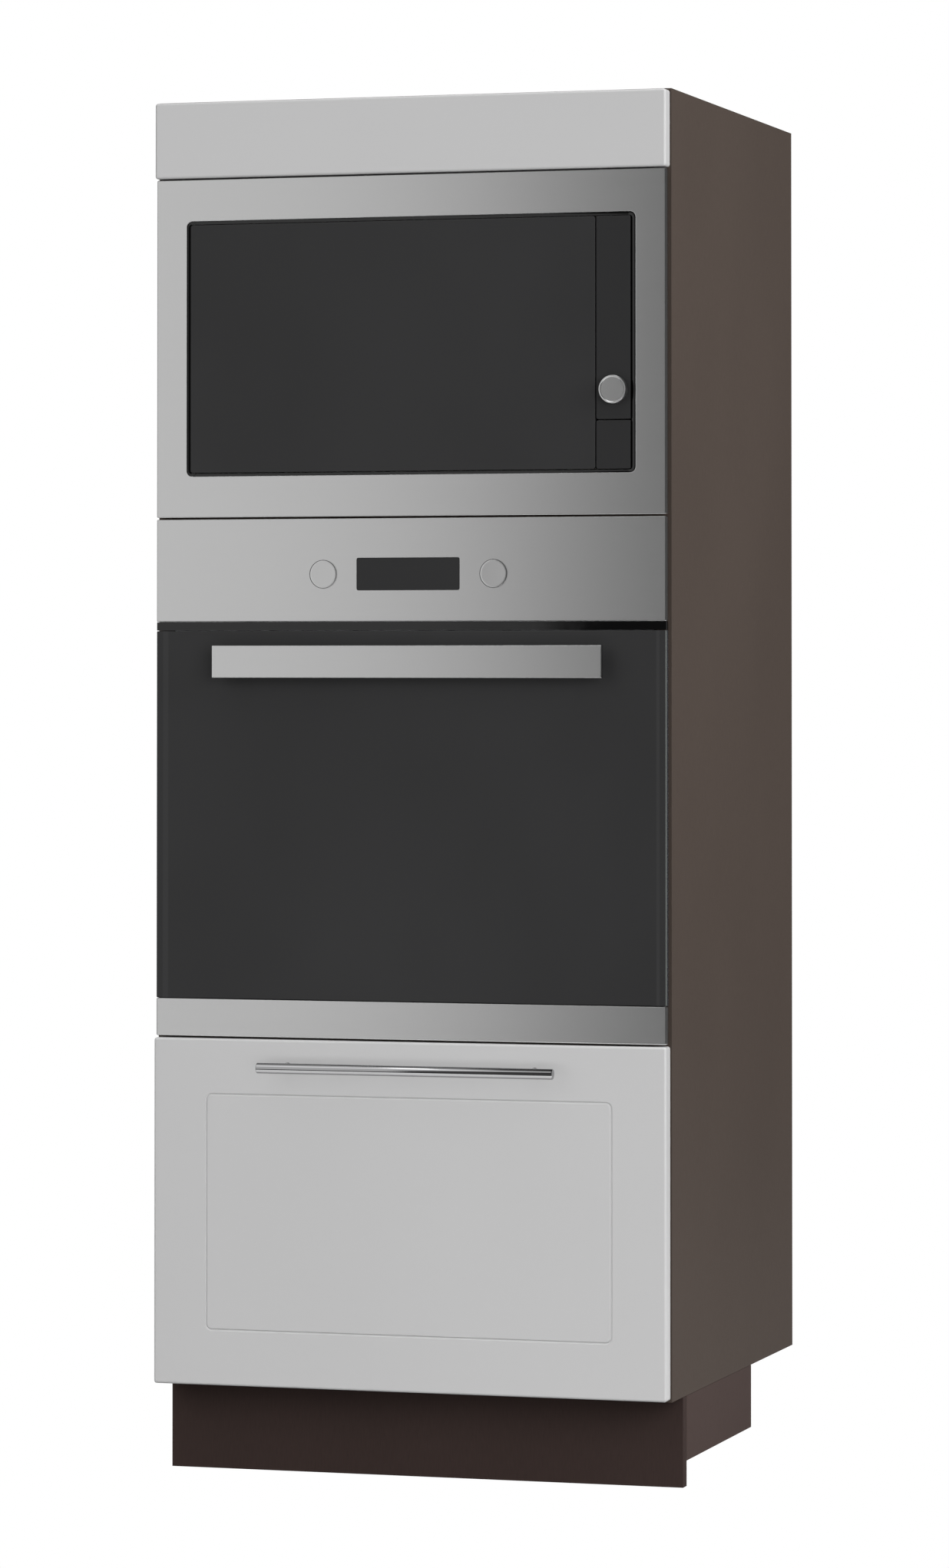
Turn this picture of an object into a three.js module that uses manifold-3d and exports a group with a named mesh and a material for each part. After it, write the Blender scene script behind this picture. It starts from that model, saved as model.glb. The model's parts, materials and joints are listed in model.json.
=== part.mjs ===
// Tall oven housing unit: a kitchen cabinet 600 mm wide that stands on a plinth. From the floor up it holds
// a deep drawer, a built-in oven with a drop-down door, a built-in microwave oven with a side-hung door,
// and a filler panel. Millimetres, +X to the right, +Y from the front to the back, +Z up.

import * as THREE from "three";
import { mergeVertices } from "three/addons/utils/BufferGeometryUtils.js";
import Module from "manifold-3d";

// ---------------------------------------------------------------- driving dimensions

// Cabinet
const carcassWidth = 600;
const carcassDepth = 560;
const boardThickness = 18;
const assemblyGap = 0.3; // left between pieces that are seated on each other
const overcut = 1; // how far a cutting shape runs past the face that it opens
const backThickness = 8;
const backInset = 16; // from the carcass's rear edge to the back panel
const backGrooveDepth = 7;
const shelfVentGap = 50; // open slot behind each shelf, for the appliances' warm air
const upperRailDepth = 100;
const upperRailCover = 7; // how far the microwave's frame laps over the rail above it
const microwaveShelfCover = 3; // how far the microwave's frame laps over the shelf below it
const backRailHeight = 100;

// Legs and plinth
const legHeight = 100;
const legInset = 85; // leg axis from the carcass's side
const frontLegSetback = 105;
const rearLegSetback = 440;
const legFootRadius = 22;
const legFootThickness = 6;
const legFootChamfer = 1;
const legTaper = 4; // height of the cones above the foot and under the flange
const legTubeRadius = 15;
const legCollarRadius = 20;
const legCollarHeight = 26;
const legCollarChamfer = 3;
const legFlangeRadius = 28;
const legFlangeThickness = 5;
const plinthThickness = 16;
const plinthSetback = 47;
const plinthReturnEnd = 357; // rear end of the side returns, from the carcass's front edge
const plinthReturnClearance = 28; // under the side returns

// Fronts, from the bottom up
const frontGap = 2;
const frontSideReveal = 1.5;
const frontThickness = 18;
const frontStandOff = 1.5; // taken up by the bumpers
const frontEdgeRadius = 2.5;
const drawerFrontHeight = 389;
const ovenHeight = 582;
const microwaveHeight = 382;
const fillerGap = 1.2; // under the filler panel
const fillerHeight = 85.8;
const bumperRadius = 5;
const bumperInset = 14; // bumper centre from the front's upper and lower edges
const mouldingInset = 61;
const mouldingWidth = 3;
const mouldingDepth = 1.2;
const mouldingCornerRadius = 8;

// Drawer
const drawerRearSpace = 37.2; // between the box and the panel behind it
const drawerFloorClearance = 22; // under the box
const drawerSideThickness = 13;
const drawerSideHeight = 100;
const drawerSheet = 1.2;
const drawerBaseThickness = 16;
const drawerBaseRise = 6; // the base's underside above the lower edge of the sides
const drawerBackThickness = 16;
const drawerBackHeight = 200;
const galleryRailRadius = 5;
const galleryRailRise = 180; // rail axis above the lower edge of the sides
const galleryPostThickness = 4;
const runnerRearSpace = 32; // between the fixed member and the panel behind it
const runnerMiddleShortfall = 40; // by which the middle member is shorter than the fixed one
const runnerSetback = 4;
const runnerWidth = 12.7;
const runnerHeight = 45;
const runnerGauge = 1.5;
const runnerAxisRise = 34; // runner axis above the lower edge of the drawer sides
const runnerPlay = 0.5; // between the members of a runner
const runnerWebOffset = 1; // middle member's web from the runner's centre line
const drawerHandleLength = 344;
const drawerHandleRadius = 6;
const drawerHandleReach = 25; // bar axis from the front's face
const drawerHandleShift = 4.6; // handle's middle, to the right of the front's middle
const drawerHandleSpacing = 288;
const drawerHandlePostRadius = 4;
const drawerHandleDrop = 30.3; // bar axis below the front's upper edge
const drawerHandleChamfer = 0.8;

// Shared by both appliances
const applianceReveal = 2.5; // each side, inside the carcass's outer faces
const applianceStandOut = 15; // front face ahead of the carcass's front edge
const applianceSkinDepth = 10;
const applianceEdgeRadius = 1;
const frontSheet = 1.5; // gauge of the steel fronts
const bodySheet = 1.5; // gauge of the casings, liners and door trays
const linerSetback = 24; // liner's front flange behind the carcass's front edge
const glassThickness = 4;
const frontCorner = 1.2; // corners of the steel fronts and of the outer glass
const louvreCount = 5;
const louvreLength = 90;
const louvreHeight = 5;
const louvrePitch = 13;
const louvreSpread = 110; // centres of the two columns of louvres, from the middle
const louvreMargin = 8; // lowest upper louvre above the partition

// Oven body
const ovenBodyPlay = 3; // each side, between the casing and the carcass
const ovenBodyHeadroom = 20; // casing's top below the oven's upper edge
const ovenBodyDepth = 534; // rear of the casing, from the carcass's front edge
const ovenCavityWall = 49; // insulation between the casing's sides and the cavity
const ovenCavityFloor = 62; // above the oven's lower edge
const ovenCavityHeadroom = 160; // from the cavity's ceiling to the casing's top
const ovenCavityRearSpace = 100; // behind the cavity, for the fan's motor
const ovenCavityCorner = 18;
const shelfRibCount = 5;
const shelfRibFirst = 36; // lowest rib above the cavity's floor
const shelfRibHeadroom = 72; // highest rib below the cavity's ceiling
const shelfRibDepth = 8;
const shelfRibHeight = 6;
const shelfRibSlope = 1; // rise of a rib's lower face from wall to crest, and its fall below the wall
const shelfRibMargin = 14; // rib ends from the cavity's front and back
const sealWidth = 6;
const sealOffset = 6; // seal's inner edge outside the cavity's mouth
const terminalWidth = 80;
const terminalHeight = 50;
const terminalDepth = 20;
const terminalInset = 40; // from the casing's side and top
const glandRadius = 9;
const glandLength = 12;
const glandBoreDepth = 4; // past the cover's underside

// Oven door
const ovenPanelHeight = 115.7;
const ovenTrimHeight = 9.2;
const ovenTrimRecess = 1;
const ovenDoorGap = 0.7; // above the door, and above the trim strip
const ovenDoorRailHeight = 42.5;
const doorRailCorner = 1.6;
const doorGlassEdge = 0.8;
const doorTrayInset = 17; // each side, inside the casing's outer faces
const doorTrayBottom = 12; // above the oven's lower edge
const doorTrayTopMargin = 16; // below the door's upper edge
const doorTrayDepth = 25;
const doorWindowSideMargin = 40; // each side of the window, inside the cavity's walls
const doorWindowFloorMargin = 58; // window's lower edge above the cavity's floor
const doorWindowCeilingMargin = 62; // window's upper edge below the cavity's ceiling
const doorWindowCorner = 16;
const innerPaneLap = 12; // how far the inner pane laps over the window's edge
const doorPivotSetback = 5.5; // pivot behind the door's face
const doorPivotRise = 7.5; // pivot above the door's lower edge
const hingePinRadius = 1.5;
const hingePinEnd = 1; // how far a pin stands out of its bracket, and how deep it sits in its arm
const hingeNoseRadius = 3.4;
const hingeThickness = 8;
const hingeSideGap = 3.7; // between the door's tray and a bracket
const hingeBracketHeight = 30;
const hingeArmThickness = 5;
const hingeArmHeight = 20;
const hingePlay = 0.4;
const hingeNotchPlay = 2.3; // between a bracket and the rail's notch
const ovenHandleInset = 70.5; // half the difference between the oven's and the handle's width
const ovenHandleShift = 3.5; // handle's middle, to the right of the door's middle
const ovenHandleHeight = 36;
const ovenHandleThickness = 6;
const ovenHandleReach = 24; // handle's face from the glass
const ovenHandleDrop = 16.5; // handle's upper edge below the door's upper edge
const ovenHandleEdge = 1;
const ovenHandleCorner = 1.2;
const ovenHandlePostInset = 31; // post's centre from the handle's end
const ovenHandlePostWidth = 22;
const ovenHandlePostHeight = 14;

// Oven fittings
const ovenAccessoryPlay = 2.5; // each side, between rack or tray and the cavity
const ovenAccessorySetback = 36; // front edge of rack and tray behind the liner's flange
const ovenAccessoryRearMargin = 34; // rear edge of rack and tray from the cavity's back
const rackLevel = 1; // shelf rib that carries the rack, counted from 0
const trayLevel = 0;
const rackFrameRadius = 2.5;
const rackWireRadius = 1.6;
const rackWireCount = 11;
const trayDepth = 28;
const traySheet = 1.2;
const trayRimWidth = 10;
const trayCorner = 14;
const grillSideMargin = 62; // outer runs from the cavity's walls
const grillTubeRadius = 3.25;
const grillDrop = 20; // tube axis below the cavity's ceiling
const grillFrontMargin = 70;
const grillRearMargin = 80;
const fanCoverSize = 236;
const fanCoverDepth = 24;
const fanCoverCorner = 24;
const fanCoverEdge = 3;
const fanSlotCount = 16;
const fanSlotWidth = 6;
const fanSlotInner = 34;
const fanSlotOuter = 86;
const fanRadius = 82;
const fanDiscInset = 8; // disc's edge inside the blades' tips
const fanHubRadius = 16;
const fanHubProud = 1; // hub's face in front of the blades
const fanBladeCount = 10;
const fanBladeWidth = 12;
const fanBladeThickness = 1.6;
const fanBladeRoot = 2; // how deep a blade's root sits in the hub
const fanDiscThickness = 1.5;
const fanShaftRadius = 4;
const fanShaftLength = 62;
const fanMotorRadius = 30;
const fanMotorLength = 60;
const fanMotorWall = 20; // behind the shaft's bore

// Oven controls
const controlDrop = 62.5; // knob and display centres below the oven's upper edge
const knobSpacing = 199;
const knobRadius = 15.7;
const knobProud = 0.3;
const knobLength = 25;
const knobTravel = 18; // how far a pushed-in knob comes out
const knobEdge = 0.8;
const knobFluteCount = 12;
const knobFluteRadius = 1.5;
const knobFluteOffset = 1; // flute centres outside the barrel
const knobCapLength = 4; // smooth part in front of the flutes
const knobPlay = 0.4;
const knobCollarWidth = 0.6;
const knobCollarHeight = 0.3;
const knobCupWall = 1.5;
const knobShaftRadius = 4;
const knobShaftLength = 46;
const knobBoreDepth = 14;
const displayWidth = 120;
const displayHeight = 36;
const displayCorner = 2;
const displayRecess = 0.2;

// Microwave body
const microwaveBodyPlay = 10; // each side, between the casing and the carcass
const microwaveBodyClearance = 9.7; // under the upper rail
const microwaveBodyDepth = 480;
const microwaveFrameSide = 36; // frame's steel at either side of its window
const microwaveWindowBottom = 46.4;
const microwaveFrameTop = 47.6; // frame's steel above its window
const microwaveWindowCorner = 6.5;
const bezelWidth = 3.2; // showing inside the frame's window
const bezelLap = 4.5; // hidden behind the frame
const bezelThickness = 3;
const bezelPlay = 0.8; // between bezel and door
const microwaveCavityLeftMargin = 26.5; // cavity's left wall inside the window's edge
const microwaveCavityRightMargin = 52.3; // cavity's right wall to the left of the seam
const microwaveCavityFloor = 62;
const microwaveCavityTopMargin = 22.4; // cavity's ceiling below the window's upper edge
const microwaveCavityRearSpace = 106;
const microwaveCavityCorner = 12;
const couplingHoleDepth = 5;

// Microwave door and controls
const microwaveStripWidth = 44.2; // from the window's right edge to the seam beside the door
const microwaveSeamWidth = 1.2;
const microwaveDoorCorner = 3;
const microwaveDoorEdge = 0.6;
const microwavePivotSetback = 2; // pivot behind the glass's face
const microwavePivotInset = 4.2; // pivot inside the door's left edge
const microwavePinRadius = 1.1;
const microwavePinLength = 3.4;
const microwavePinRoot = 2; // how deep a pin sits in the glass
const chokeFrameInset = 7; // door's inner frame inside the glass's edge
const chokeFrameBorder = 42;
const stripCorner = 2.2; // corners of the control strip and the release button
const stripWall = 2.5;
const knobBossRadius = 7;
const knobBossLength = 26;
const chokeFrameCorner = 10;
const chokeScreenThickness = 2;
const chokeScreenRecess = 9;
const releaseButtonHeight = 53.8;
const buttonDepth = 21;
const buttonStemRadius = 3;
const buttonStemLength = 34;
const buttonStemRoot = 1; // how deep the stem sits in the button
const microwaveKnobRadius = 15.6;
const microwaveKnobEdge = 1;
const microwaveKnobRim = 2.4; // width of the raised rim
const microwaveKnobDish = 0.6;
const microwaveKnobSkirt = 2; // height of the cone at the knob's foot
const microwaveKnobHeight = 9.5;
const microwaveKnobRise = 138;
const microwaveKnobShift = 1; // to the right of the control strip's middle
const microwaveKnobShaftRadius = 3;
const microwaveKnobShaftLength = 23; // from the glass's face
const shaftPlay = 0.3; // radial, between a shaft or stem and its hole

// Turntable
const turntableRadius = 150;
const turntableThickness = 5;
const turntableRimHeight = 9;
const turntableRimWidth = 14; // width of the sloping rim
const turntableRimWall = 4;
const turntableRimEdge = 2;
const turntableHubRadius = 9.7;
const turntableHubDrop = 8; // hub's lower end below the cavity's floor
const rollerRingRadius = 96;
const rollerRingWidth = 8;
const rollerRingThickness = 4;
const rollerCount = 3;
const rollerRadius = 6;
const rollerWidth = 9;

// ---------------------------------------------------------------- places worked out from them

const carcassBottom = legHeight;
const drawerFrontBottom = carcassBottom + frontGap;
const ovenBottom = drawerFrontBottom + drawerFrontHeight + frontGap;
const microwaveBottom = ovenBottom + ovenHeight + frontGap;
const fillerBottom = microwaveBottom + microwaveHeight + fillerGap;
const carcassTop = fillerBottom + fillerHeight + frontGap;

const innerHalf = carcassWidth / 2 - boardThickness;
const seatedHalf = innerHalf - assemblyGap;
const backPanelFront = carcassDepth - backInset - backThickness;
const frontBack = -frontStandOff;
const frontFace = frontBack - frontThickness;
const frontHalf = carcassWidth / 2 - frontSideReveal;

const applianceFace = -applianceStandOut;
const applianceSkinBack = applianceFace + applianceSkinDepth;
const applianceHalf = carcassWidth / 2 - applianceReveal;
const bodyFront = applianceSkinBack + assemblyGap; // where a casing's front meets the skin's back

const ovenPanelBottom = ovenHeight - ovenPanelHeight;
const trimStripTop = ovenPanelBottom - ovenDoorGap / 2;
const trimStripBottom = trimStripTop - ovenTrimHeight;
const ovenDoorTop = trimStripBottom - ovenDoorGap;
const ovenBodyHalf = innerHalf - ovenBodyPlay;
const ovenBodyHeight = ovenHeight - ovenBodyHeadroom;
const ovenCavityHalf = ovenBodyHalf - ovenCavityWall;
const ovenCavityTop = ovenBodyHeight - ovenCavityHeadroom;
const ovenCavityBack = ovenBodyDepth - ovenCavityRearSpace;
const fanRise = (ovenCavityFloor + ovenCavityTop) / 2;
const doorTrayHalf = ovenBodyHalf - doorTrayInset;
const doorTrayBack = applianceSkinBack + doorTrayDepth;
const doorPivotY = applianceFace + doorPivotSetback;
const railSwing = Math.hypot(applianceSkinBack - doorPivotY, doorPivotRise); // of the rail's rear edge
const ovenHandleHalf = applianceHalf - ovenHandleInset;
const accessoryHalf = ovenCavityHalf - ovenAccessoryPlay;
const accessoryFront = linerSetback + ovenAccessorySetback;
const accessoryBack = ovenCavityBack - ovenAccessoryRearMargin;
const controlRise = ovenHeight - controlDrop;
const knobHalfSpacing = knobSpacing / 2;
const knobHoleRadius = knobRadius + knobPlay;
const knobFace = applianceFace - knobProud;
const knobBack = knobFace + knobLength;
const knobCupFloor = knobBack + assemblyGap;

const microwaveWindowTop = microwaveHeight - microwaveFrameTop;
const microwaveWindowHalf = applianceHalf - microwaveFrameSide;
const microwaveSeamX = microwaveWindowHalf - microwaveStripWidth;
const bezelInset = bezelWidth + bezelPlay; // from the window's edge to the door's edge
const microwaveDoorLeft = -microwaveWindowHalf + bezelInset;
const microwaveDoorRight = microwaveSeamX - microwaveSeamWidth / 2;
const microwaveDoorBottom = microwaveWindowBottom + bezelInset;
const microwaveDoorTop = microwaveWindowTop - bezelInset;
const stripLeft = microwaveSeamX + microwaveSeamWidth / 2;
const stripRight = microwaveWindowHalf - bezelInset;
const stripCentre = (stripLeft + stripRight) / 2;
const microwaveKnobX = stripCentre + microwaveKnobShift;
const buttonTop = microwaveDoorBottom + releaseButtonHeight;
const microwaveCavityLeft = -microwaveWindowHalf + microwaveCavityLeftMargin;
const microwaveCavityRight = microwaveSeamX - microwaveCavityRightMargin;
const microwaveCavityTop = microwaveWindowTop - microwaveCavityTopMargin;
const microwaveCavityBack = microwaveBodyDepth - microwaveCavityRearSpace;
const turntableX = (microwaveCavityLeft + microwaveCavityRight) / 2;
const turntableY = (linerSetback + microwaveCavityBack) / 2;
const rollerAxisRise = microwaveCavityFloor + assemblyGap + rollerRadius;
const turntableUnderside = microwaveCavityFloor + assemblyGap * 2 + rollerRadius * 2;

// ---------------------------------------------------------------- finishes

const finishes = {
  carcass: { color: 0x544a46, roughness: 0.6, metalness: 0 },
  front: { color: 0xbdbdbd, roughness: 0.45, metalness: 0 },
  plinth: { color: 0x33291f, roughness: 0.65, metalness: 0 },
  plastic: { color: 0x1c1c1c, roughness: 0.5, metalness: 0 },
  steel: { color: 0xb4b4b2, roughness: 0.32, metalness: 1 },
  chrome: { color: 0xd8d8d8, roughness: 0.12, metalness: 1 },
  runner: { color: 0xa8abad, roughness: 0.35, metalness: 1 },
  galvanised: { color: 0x9a9d9f, roughness: 0.5, metalness: 0.8 },
  enamel: { color: 0x24262b, roughness: 0.3, metalness: 0 },
  blackGlass: { color: 0x161616, roughness: 0.08, metalness: 0 },
  glossBlack: { color: 0x0d0d0d, roughness: 0.12, metalness: 0 },
  clearGlass: { color: 0xd7e3df, roughness: 0.05, metalness: 0 },
  rubber: { color: 0x2a2a2a, roughness: 0.8, metalness: 0 },
  cavityPaint: { color: 0xd9d7d0, roughness: 0.4, metalness: 0 },
};
const materials = {};
for (const [name, finish] of Object.entries(finishes)) {
  materials[name] = new THREE.MeshStandardMaterial({ name, ...finish });
}

// ---------------------------------------------------------------- shapes and solids

const wasm = await Module();
wasm.setup();

const alongX = new THREE.Matrix4().makeBasis(
  new THREE.Vector3(0, 1, 0),
  new THREE.Vector3(0, 0, 1),
  new THREE.Vector3(1, 0, 0),
);
const alongMinusY = new THREE.Matrix4().makeBasis(
  new THREE.Vector3(1, 0, 0),
  new THREE.Vector3(0, 0, 1),
  new THREE.Vector3(0, -1, 0),
);

// A closed geometry as a solid that can be joined and cut.
function solid(geometry) {
  const loose = geometry.index ? geometry.toNonIndexed() : geometry;
  const bare = new THREE.BufferGeometry();
  bare.setAttribute("position", loose.getAttribute("position"));
  const merged = mergeVertices(bare, 1e-3);
  return new wasm.Manifold(
    new wasm.Mesh({
      numProp: 3,
      vertProperties: merged.getAttribute("position").array,
      triVerts: new Uint32Array(merged.index.array),
    }),
  );
}

function join(first, ...others) {
  return others.reduce((whole, piece) => whole.add(piece), first);
}

function cut(first, ...tools) {
  return tools.reduce((rest, tool) => rest.subtract(tool), first);
}

// A block between two corners, given in any order.
function block(x0, x1, y0, y1, z0, z1) {
  const geometry = new THREE.BoxGeometry(Math.abs(x1 - x0), Math.abs(y1 - y0), Math.abs(z1 - z0));
  return solid(geometry.translate((x0 + x1) / 2, (y0 + y1) / 2, (z0 + z1) / 2));
}

function polygon(points) {
  return new THREE.Shape(points.map(([a, b]) => new THREE.Vector2(a, b)));
}

function disc(a, b, radius) {
  return new THREE.Shape().absarc(a, b, radius, 0, Math.PI * 2);
}

function roundedRectangle(left, right, bottom, top, radius) {
  if (radius === 0) {
    return polygon([[left, bottom], [right, bottom], [right, top], [left, top]]);
  }
  return new THREE.Shape()
    .moveTo(left + radius, bottom)
    .absarc(right - radius, bottom + radius, radius, -Math.PI / 2, 0)
    .absarc(right - radius, top - radius, radius, 0, Math.PI / 2)
    .absarc(left + radius, top - radius, radius, Math.PI / 2, Math.PI)
    .absarc(left + radius, bottom + radius, radius, Math.PI, Math.PI * 1.5);
}

// A shape drawn in Y and Z, carried along X.
function profileAlongX(shape, x0, x1, curveSegments = 6) {
  const from = Math.min(x0, x1);
  const depth = Math.abs(x1 - x0);
  const geometry = new THREE.ExtrudeGeometry(shape, { depth, bevelEnabled: false, curveSegments });
  return solid(geometry.applyMatrix4(alongX).translate(from, 0, 0));
}

// A shape drawn in X and Z, carried from the front to the back.
function profileAlongY(shape, front, back, curveSegments = 6) {
  const depth = back - front;
  const geometry = new THREE.ExtrudeGeometry(shape, { depth, bevelEnabled: false, curveSegments });
  return solid(geometry.applyMatrix4(alongMinusY).translate(0, back, 0));
}

// A shape drawn in X and Y, carried upwards.
function profileAlongZ(shape, bottom, top, curveSegments = 6) {
  const depth = top - bottom;
  const geometry = new THREE.ExtrudeGeometry(shape, { depth, bevelEnabled: false, curveSegments });
  return solid(geometry.translate(0, 0, bottom));
}

// A plate in X and Z whose front edges are rounded; its back edges stay square.
function facePlate(left, right, bottom, top, corner, front, back, edge, edgeSegments = 3) {
  const geometry = new THREE.ExtrudeGeometry(roundedRectangle(left, right, bottom, top, corner), {
    depth: back - front,
    bevelThickness: edge,
    bevelSize: edge,
    bevelOffset: -edge,
    bevelSegments: edgeSegments,
    curveSegments: edgeSegments,
  });
  const plate = solid(geometry.applyMatrix4(alongMinusY).translate(0, back + edge, 0));
  const behind = block(left - 1, right + 1, back, back + edge * 2 + overcut, bottom - 1, top + 1);
  return cut(plate, behind);
}

// A profile of [radius, height] pairs, turned round a vertical axis.
function turnedZ(profile, x, y, segments = 24) {
  const points = profile.map(([radius, height]) => new THREE.Vector2(radius, height));
  const geometry = new THREE.LatheGeometry(points, segments).rotateX(Math.PI / 2);
  return solid(geometry.translate(x, y, 0));
}

// A profile of [radius, depth] pairs, turned round an axis from the front to the back.
function turnedY(profile, x, z, segments = 32) {
  const points = profile.map(([radius, depth]) => new THREE.Vector2(radius, depth));
  return solid(new THREE.LatheGeometry(points, segments).translate(x, 0, z));
}

function piece(name, shape, finish) {
  const made = shape.getMesh();
  const geometry = new THREE.BufferGeometry();
  geometry.setAttribute("position", new THREE.BufferAttribute(made.vertProperties, 3));
  geometry.setIndex(new THREE.BufferAttribute(made.triVerts, 1));
  const mesh = new THREE.Mesh(geometry.toNonIndexed(), materials[finish]);
  mesh.geometry.computeVertexNormals();
  mesh.name = name;
  return mesh;
}

function group(height, ...pieces) {
  const made = new THREE.Group();
  made.position.z = height;
  return made.add(...pieces);
}

const sides = [
  ["left", -1],
  ["right", 1],
];

// ---------------------------------------------------------------- cabinet

// A side board with the groove that takes the back panel.
function sidePanel(side) {
  const board = block(
    side * innerHalf, (side * carcassWidth) / 2, 0, carcassDepth, carcassBottom, carcassTop,
  );
  const groove = block(
    side * (innerHalf - overcut),
    side * (innerHalf + backGrooveDepth),
    backPanelFront - assemblyGap,
    backPanelFront + backThickness + assemblyGap,
    carcassBottom - overcut,
    carcassTop + overcut,
  );
  return cut(board, groove);
}

// A board between the sides, given by its underside.
function crossBoard(underside, front, back) {
  return block(-seatedHalf, seatedHalf, front, back, underside, underside + boardThickness);
}

// A height-adjustable plastic leg: foot, tube, locking collar and the flange screwed to the carcass.
function leg(x, y) {
  const top = legHeight - assemblyGap;
  const flangeUnderside = top - legFlangeThickness;
  return turnedZ(
    [
      [0, 0],
      [legFootRadius - legFootChamfer, 0],
      [legFootRadius, legFootChamfer],
      [legFootRadius, legFootThickness - legFootChamfer],
      [legTubeRadius, legFootThickness + legTaper],
      [legTubeRadius, flangeUnderside - legCollarHeight],
      [legCollarRadius, flangeUnderside - legCollarHeight + legCollarChamfer],
      [legCollarRadius, flangeUnderside - legTaper],
      [legFlangeRadius, flangeUnderside],
      [legFlangeRadius, top],
      [0, top],
    ],
    x, y, 10,
  );
}

function cabinet() {
  const ovenShelf = ovenBottom - boardThickness;
  const microwaveShelf = microwaveBottom + microwaveShelfCover - boardThickness;
  const upperRail = microwaveBottom + microwaveHeight - upperRailCover;
  const topPanel = carcassTop - boardThickness;
  const backRailTop = topPanel - assemblyGap;
  const backRailBack = carcassDepth - backInset;
  const backHalf = innerHalf + backGrooveDepth - assemblyGap;
  const plinthBack = plinthSetback + plinthThickness;
  const plinthTop = legHeight - assemblyGap;
  const half = carcassWidth / 2;
  const made = group(
    0,
    piece("bottom_panel", crossBoard(carcassBottom, 0, backPanelFront - assemblyGap), "carcass"),
    piece("oven_shelf", crossBoard(ovenShelf, 0, carcassDepth - shelfVentGap), "carcass"),
    piece("microwave_shelf", crossBoard(microwaveShelf, 0, carcassDepth - shelfVentGap), "carcass"),
    piece("upper_rail", crossBoard(upperRail, 0, upperRailDepth), "carcass"),
    piece("top_panel", crossBoard(topPanel, 0, carcassDepth), "carcass"),
    piece(
      "back_panel",
      block(
        -backHalf, backHalf, backPanelFront, backPanelFront + backThickness, carcassBottom, ovenBottom,
      ),
      "carcass",
    ),
    piece(
      "back_rail",
      block(
        -seatedHalf, seatedHalf, backRailBack - boardThickness, backRailBack,
        backRailTop - backRailHeight, backRailTop,
      ),
      "carcass",
    ),
    piece("plinth_front", block(-half, half, plinthSetback, plinthBack, 0, plinthTop), "plinth"),
  );
  for (const [name, side] of sides) {
    made.add(piece("side_panel_" + name, sidePanel(side), "carcass"));
    const plinthReturn = block(
      side * half, side * (half - plinthThickness), plinthBack + assemblyGap, plinthReturnEnd,
      plinthReturnClearance, plinthTop,
    );
    made.add(piece("plinth_return_" + name, plinthReturn, "plinth"));
    const x = side * (half - legInset);
    made.add(piece("leg_front_" + name, leg(x, frontLegSetback), "plastic"));
    made.add(piece("leg_rear_" + name, leg(x, rearLegSetback), "plastic"));
  }
  return made;
}

// ---------------------------------------------------------------- fronts

// A lacquered front with eased edges and four soft bumpers against the carcass's front edges.
function frontPanel(bottom, height) {
  const top = bottom + height;
  const panel = facePlate(-frontHalf, frontHalf, bottom, top, 0, frontFace, frontBack, frontEdgeRadius);
  const bumperX = carcassWidth / 2 - boardThickness / 2;
  const bumpers = [];
  for (const [, side] of sides) {
    for (const z of [bottom + bumperInset, top - bumperInset]) {
      const outline = disc(side * bumperX, z, bumperRadius);
      bumpers.push(profileAlongY(outline, frontBack - overcut, -assemblyGap));
    }
  }
  return join(panel, ...bumpers);
}

// The fine milled line that frames the drawer's front.
function mouldingLine(bottom, height) {
  const line = (inset) =>
    roundedRectangle(
      -frontHalf + inset, frontHalf - inset, bottom + inset, bottom + height - inset,
      mouldingCornerRadius - (inset - mouldingInset),
    );
  const outline = line(mouldingInset);
  outline.holes.push(line(mouldingInset + mouldingWidth));
  return profileAlongY(outline, frontFace - overcut, frontFace + mouldingDepth, 4);
}

// ---------------------------------------------------------------- drawer

const drawerBoxFront = frontBack + assemblyGap;
const drawerBoxBack = backPanelFront - drawerRearSpace;
const runnerBack = backPanelFront - runnerRearSpace;
const runnerMiddleBack = runnerBack - runnerMiddleShortfall;
const drawerBoxBottom = carcassBottom + boardThickness + drawerFloorClearance;
const drawerSideOuter = innerHalf - runnerWidth - assemblyGap; // outer face of a drawer side
const drawerSideInner = drawerSideOuter - drawerSideThickness;
const runnerAxis = drawerBoxBottom + runnerAxisRise;
const runnerHalf = runnerHeight / 2;
const middleHalf = runnerHalf - runnerGauge - runnerPlay; // half height of the middle member
const innerMemberHalf = middleHalf - runnerGauge - runnerPlay;
const middleWebX = runnerWidth / 2 - runnerWebOffset; // middle member's web, from the carcass's side

// Corners of a channel section that opens towards the drawer or away from it. x is counted inwards from
// the carcass's side: web and tips are where the section starts and ends.
function channel(side, web, tips, half) {
  const inward = Math.sign(tips - web);
  const at = (x, z) => [side * (innerHalf - x), runnerAxis + z];
  const inside = web + inward * runnerGauge;
  return polygon([
    at(web, -half), at(tips, -half), at(tips, -half + runnerGauge), at(inside, -half + runnerGauge),
    at(inside, half - runnerGauge), at(tips, half - runnerGauge), at(tips, half), at(web, half),
  ]);
}

// The middle member's section: a web with a track along its upper and its lower edge.
function doubleTrack(side) {
  const at = (x, z) => [side * (innerHalf - x), runnerAxis + z];
  const near = assemblyGap + runnerGauge + runnerPlay;
  const far = runnerWidth - runnerGauge - runnerPlay - assemblyGap;
  const web = middleWebX;
  const low = middleHalf - runnerGauge;
  return polygon([
    at(near, -middleHalf), at(far, -middleHalf), at(far, -low), at(web + runnerGauge, -low),
    at(web + runnerGauge, low), at(far, low), at(far, middleHalf), at(near, middleHalf),
    at(near, low), at(web, low), at(web, -low), at(near, -low),
  ]);
}

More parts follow.
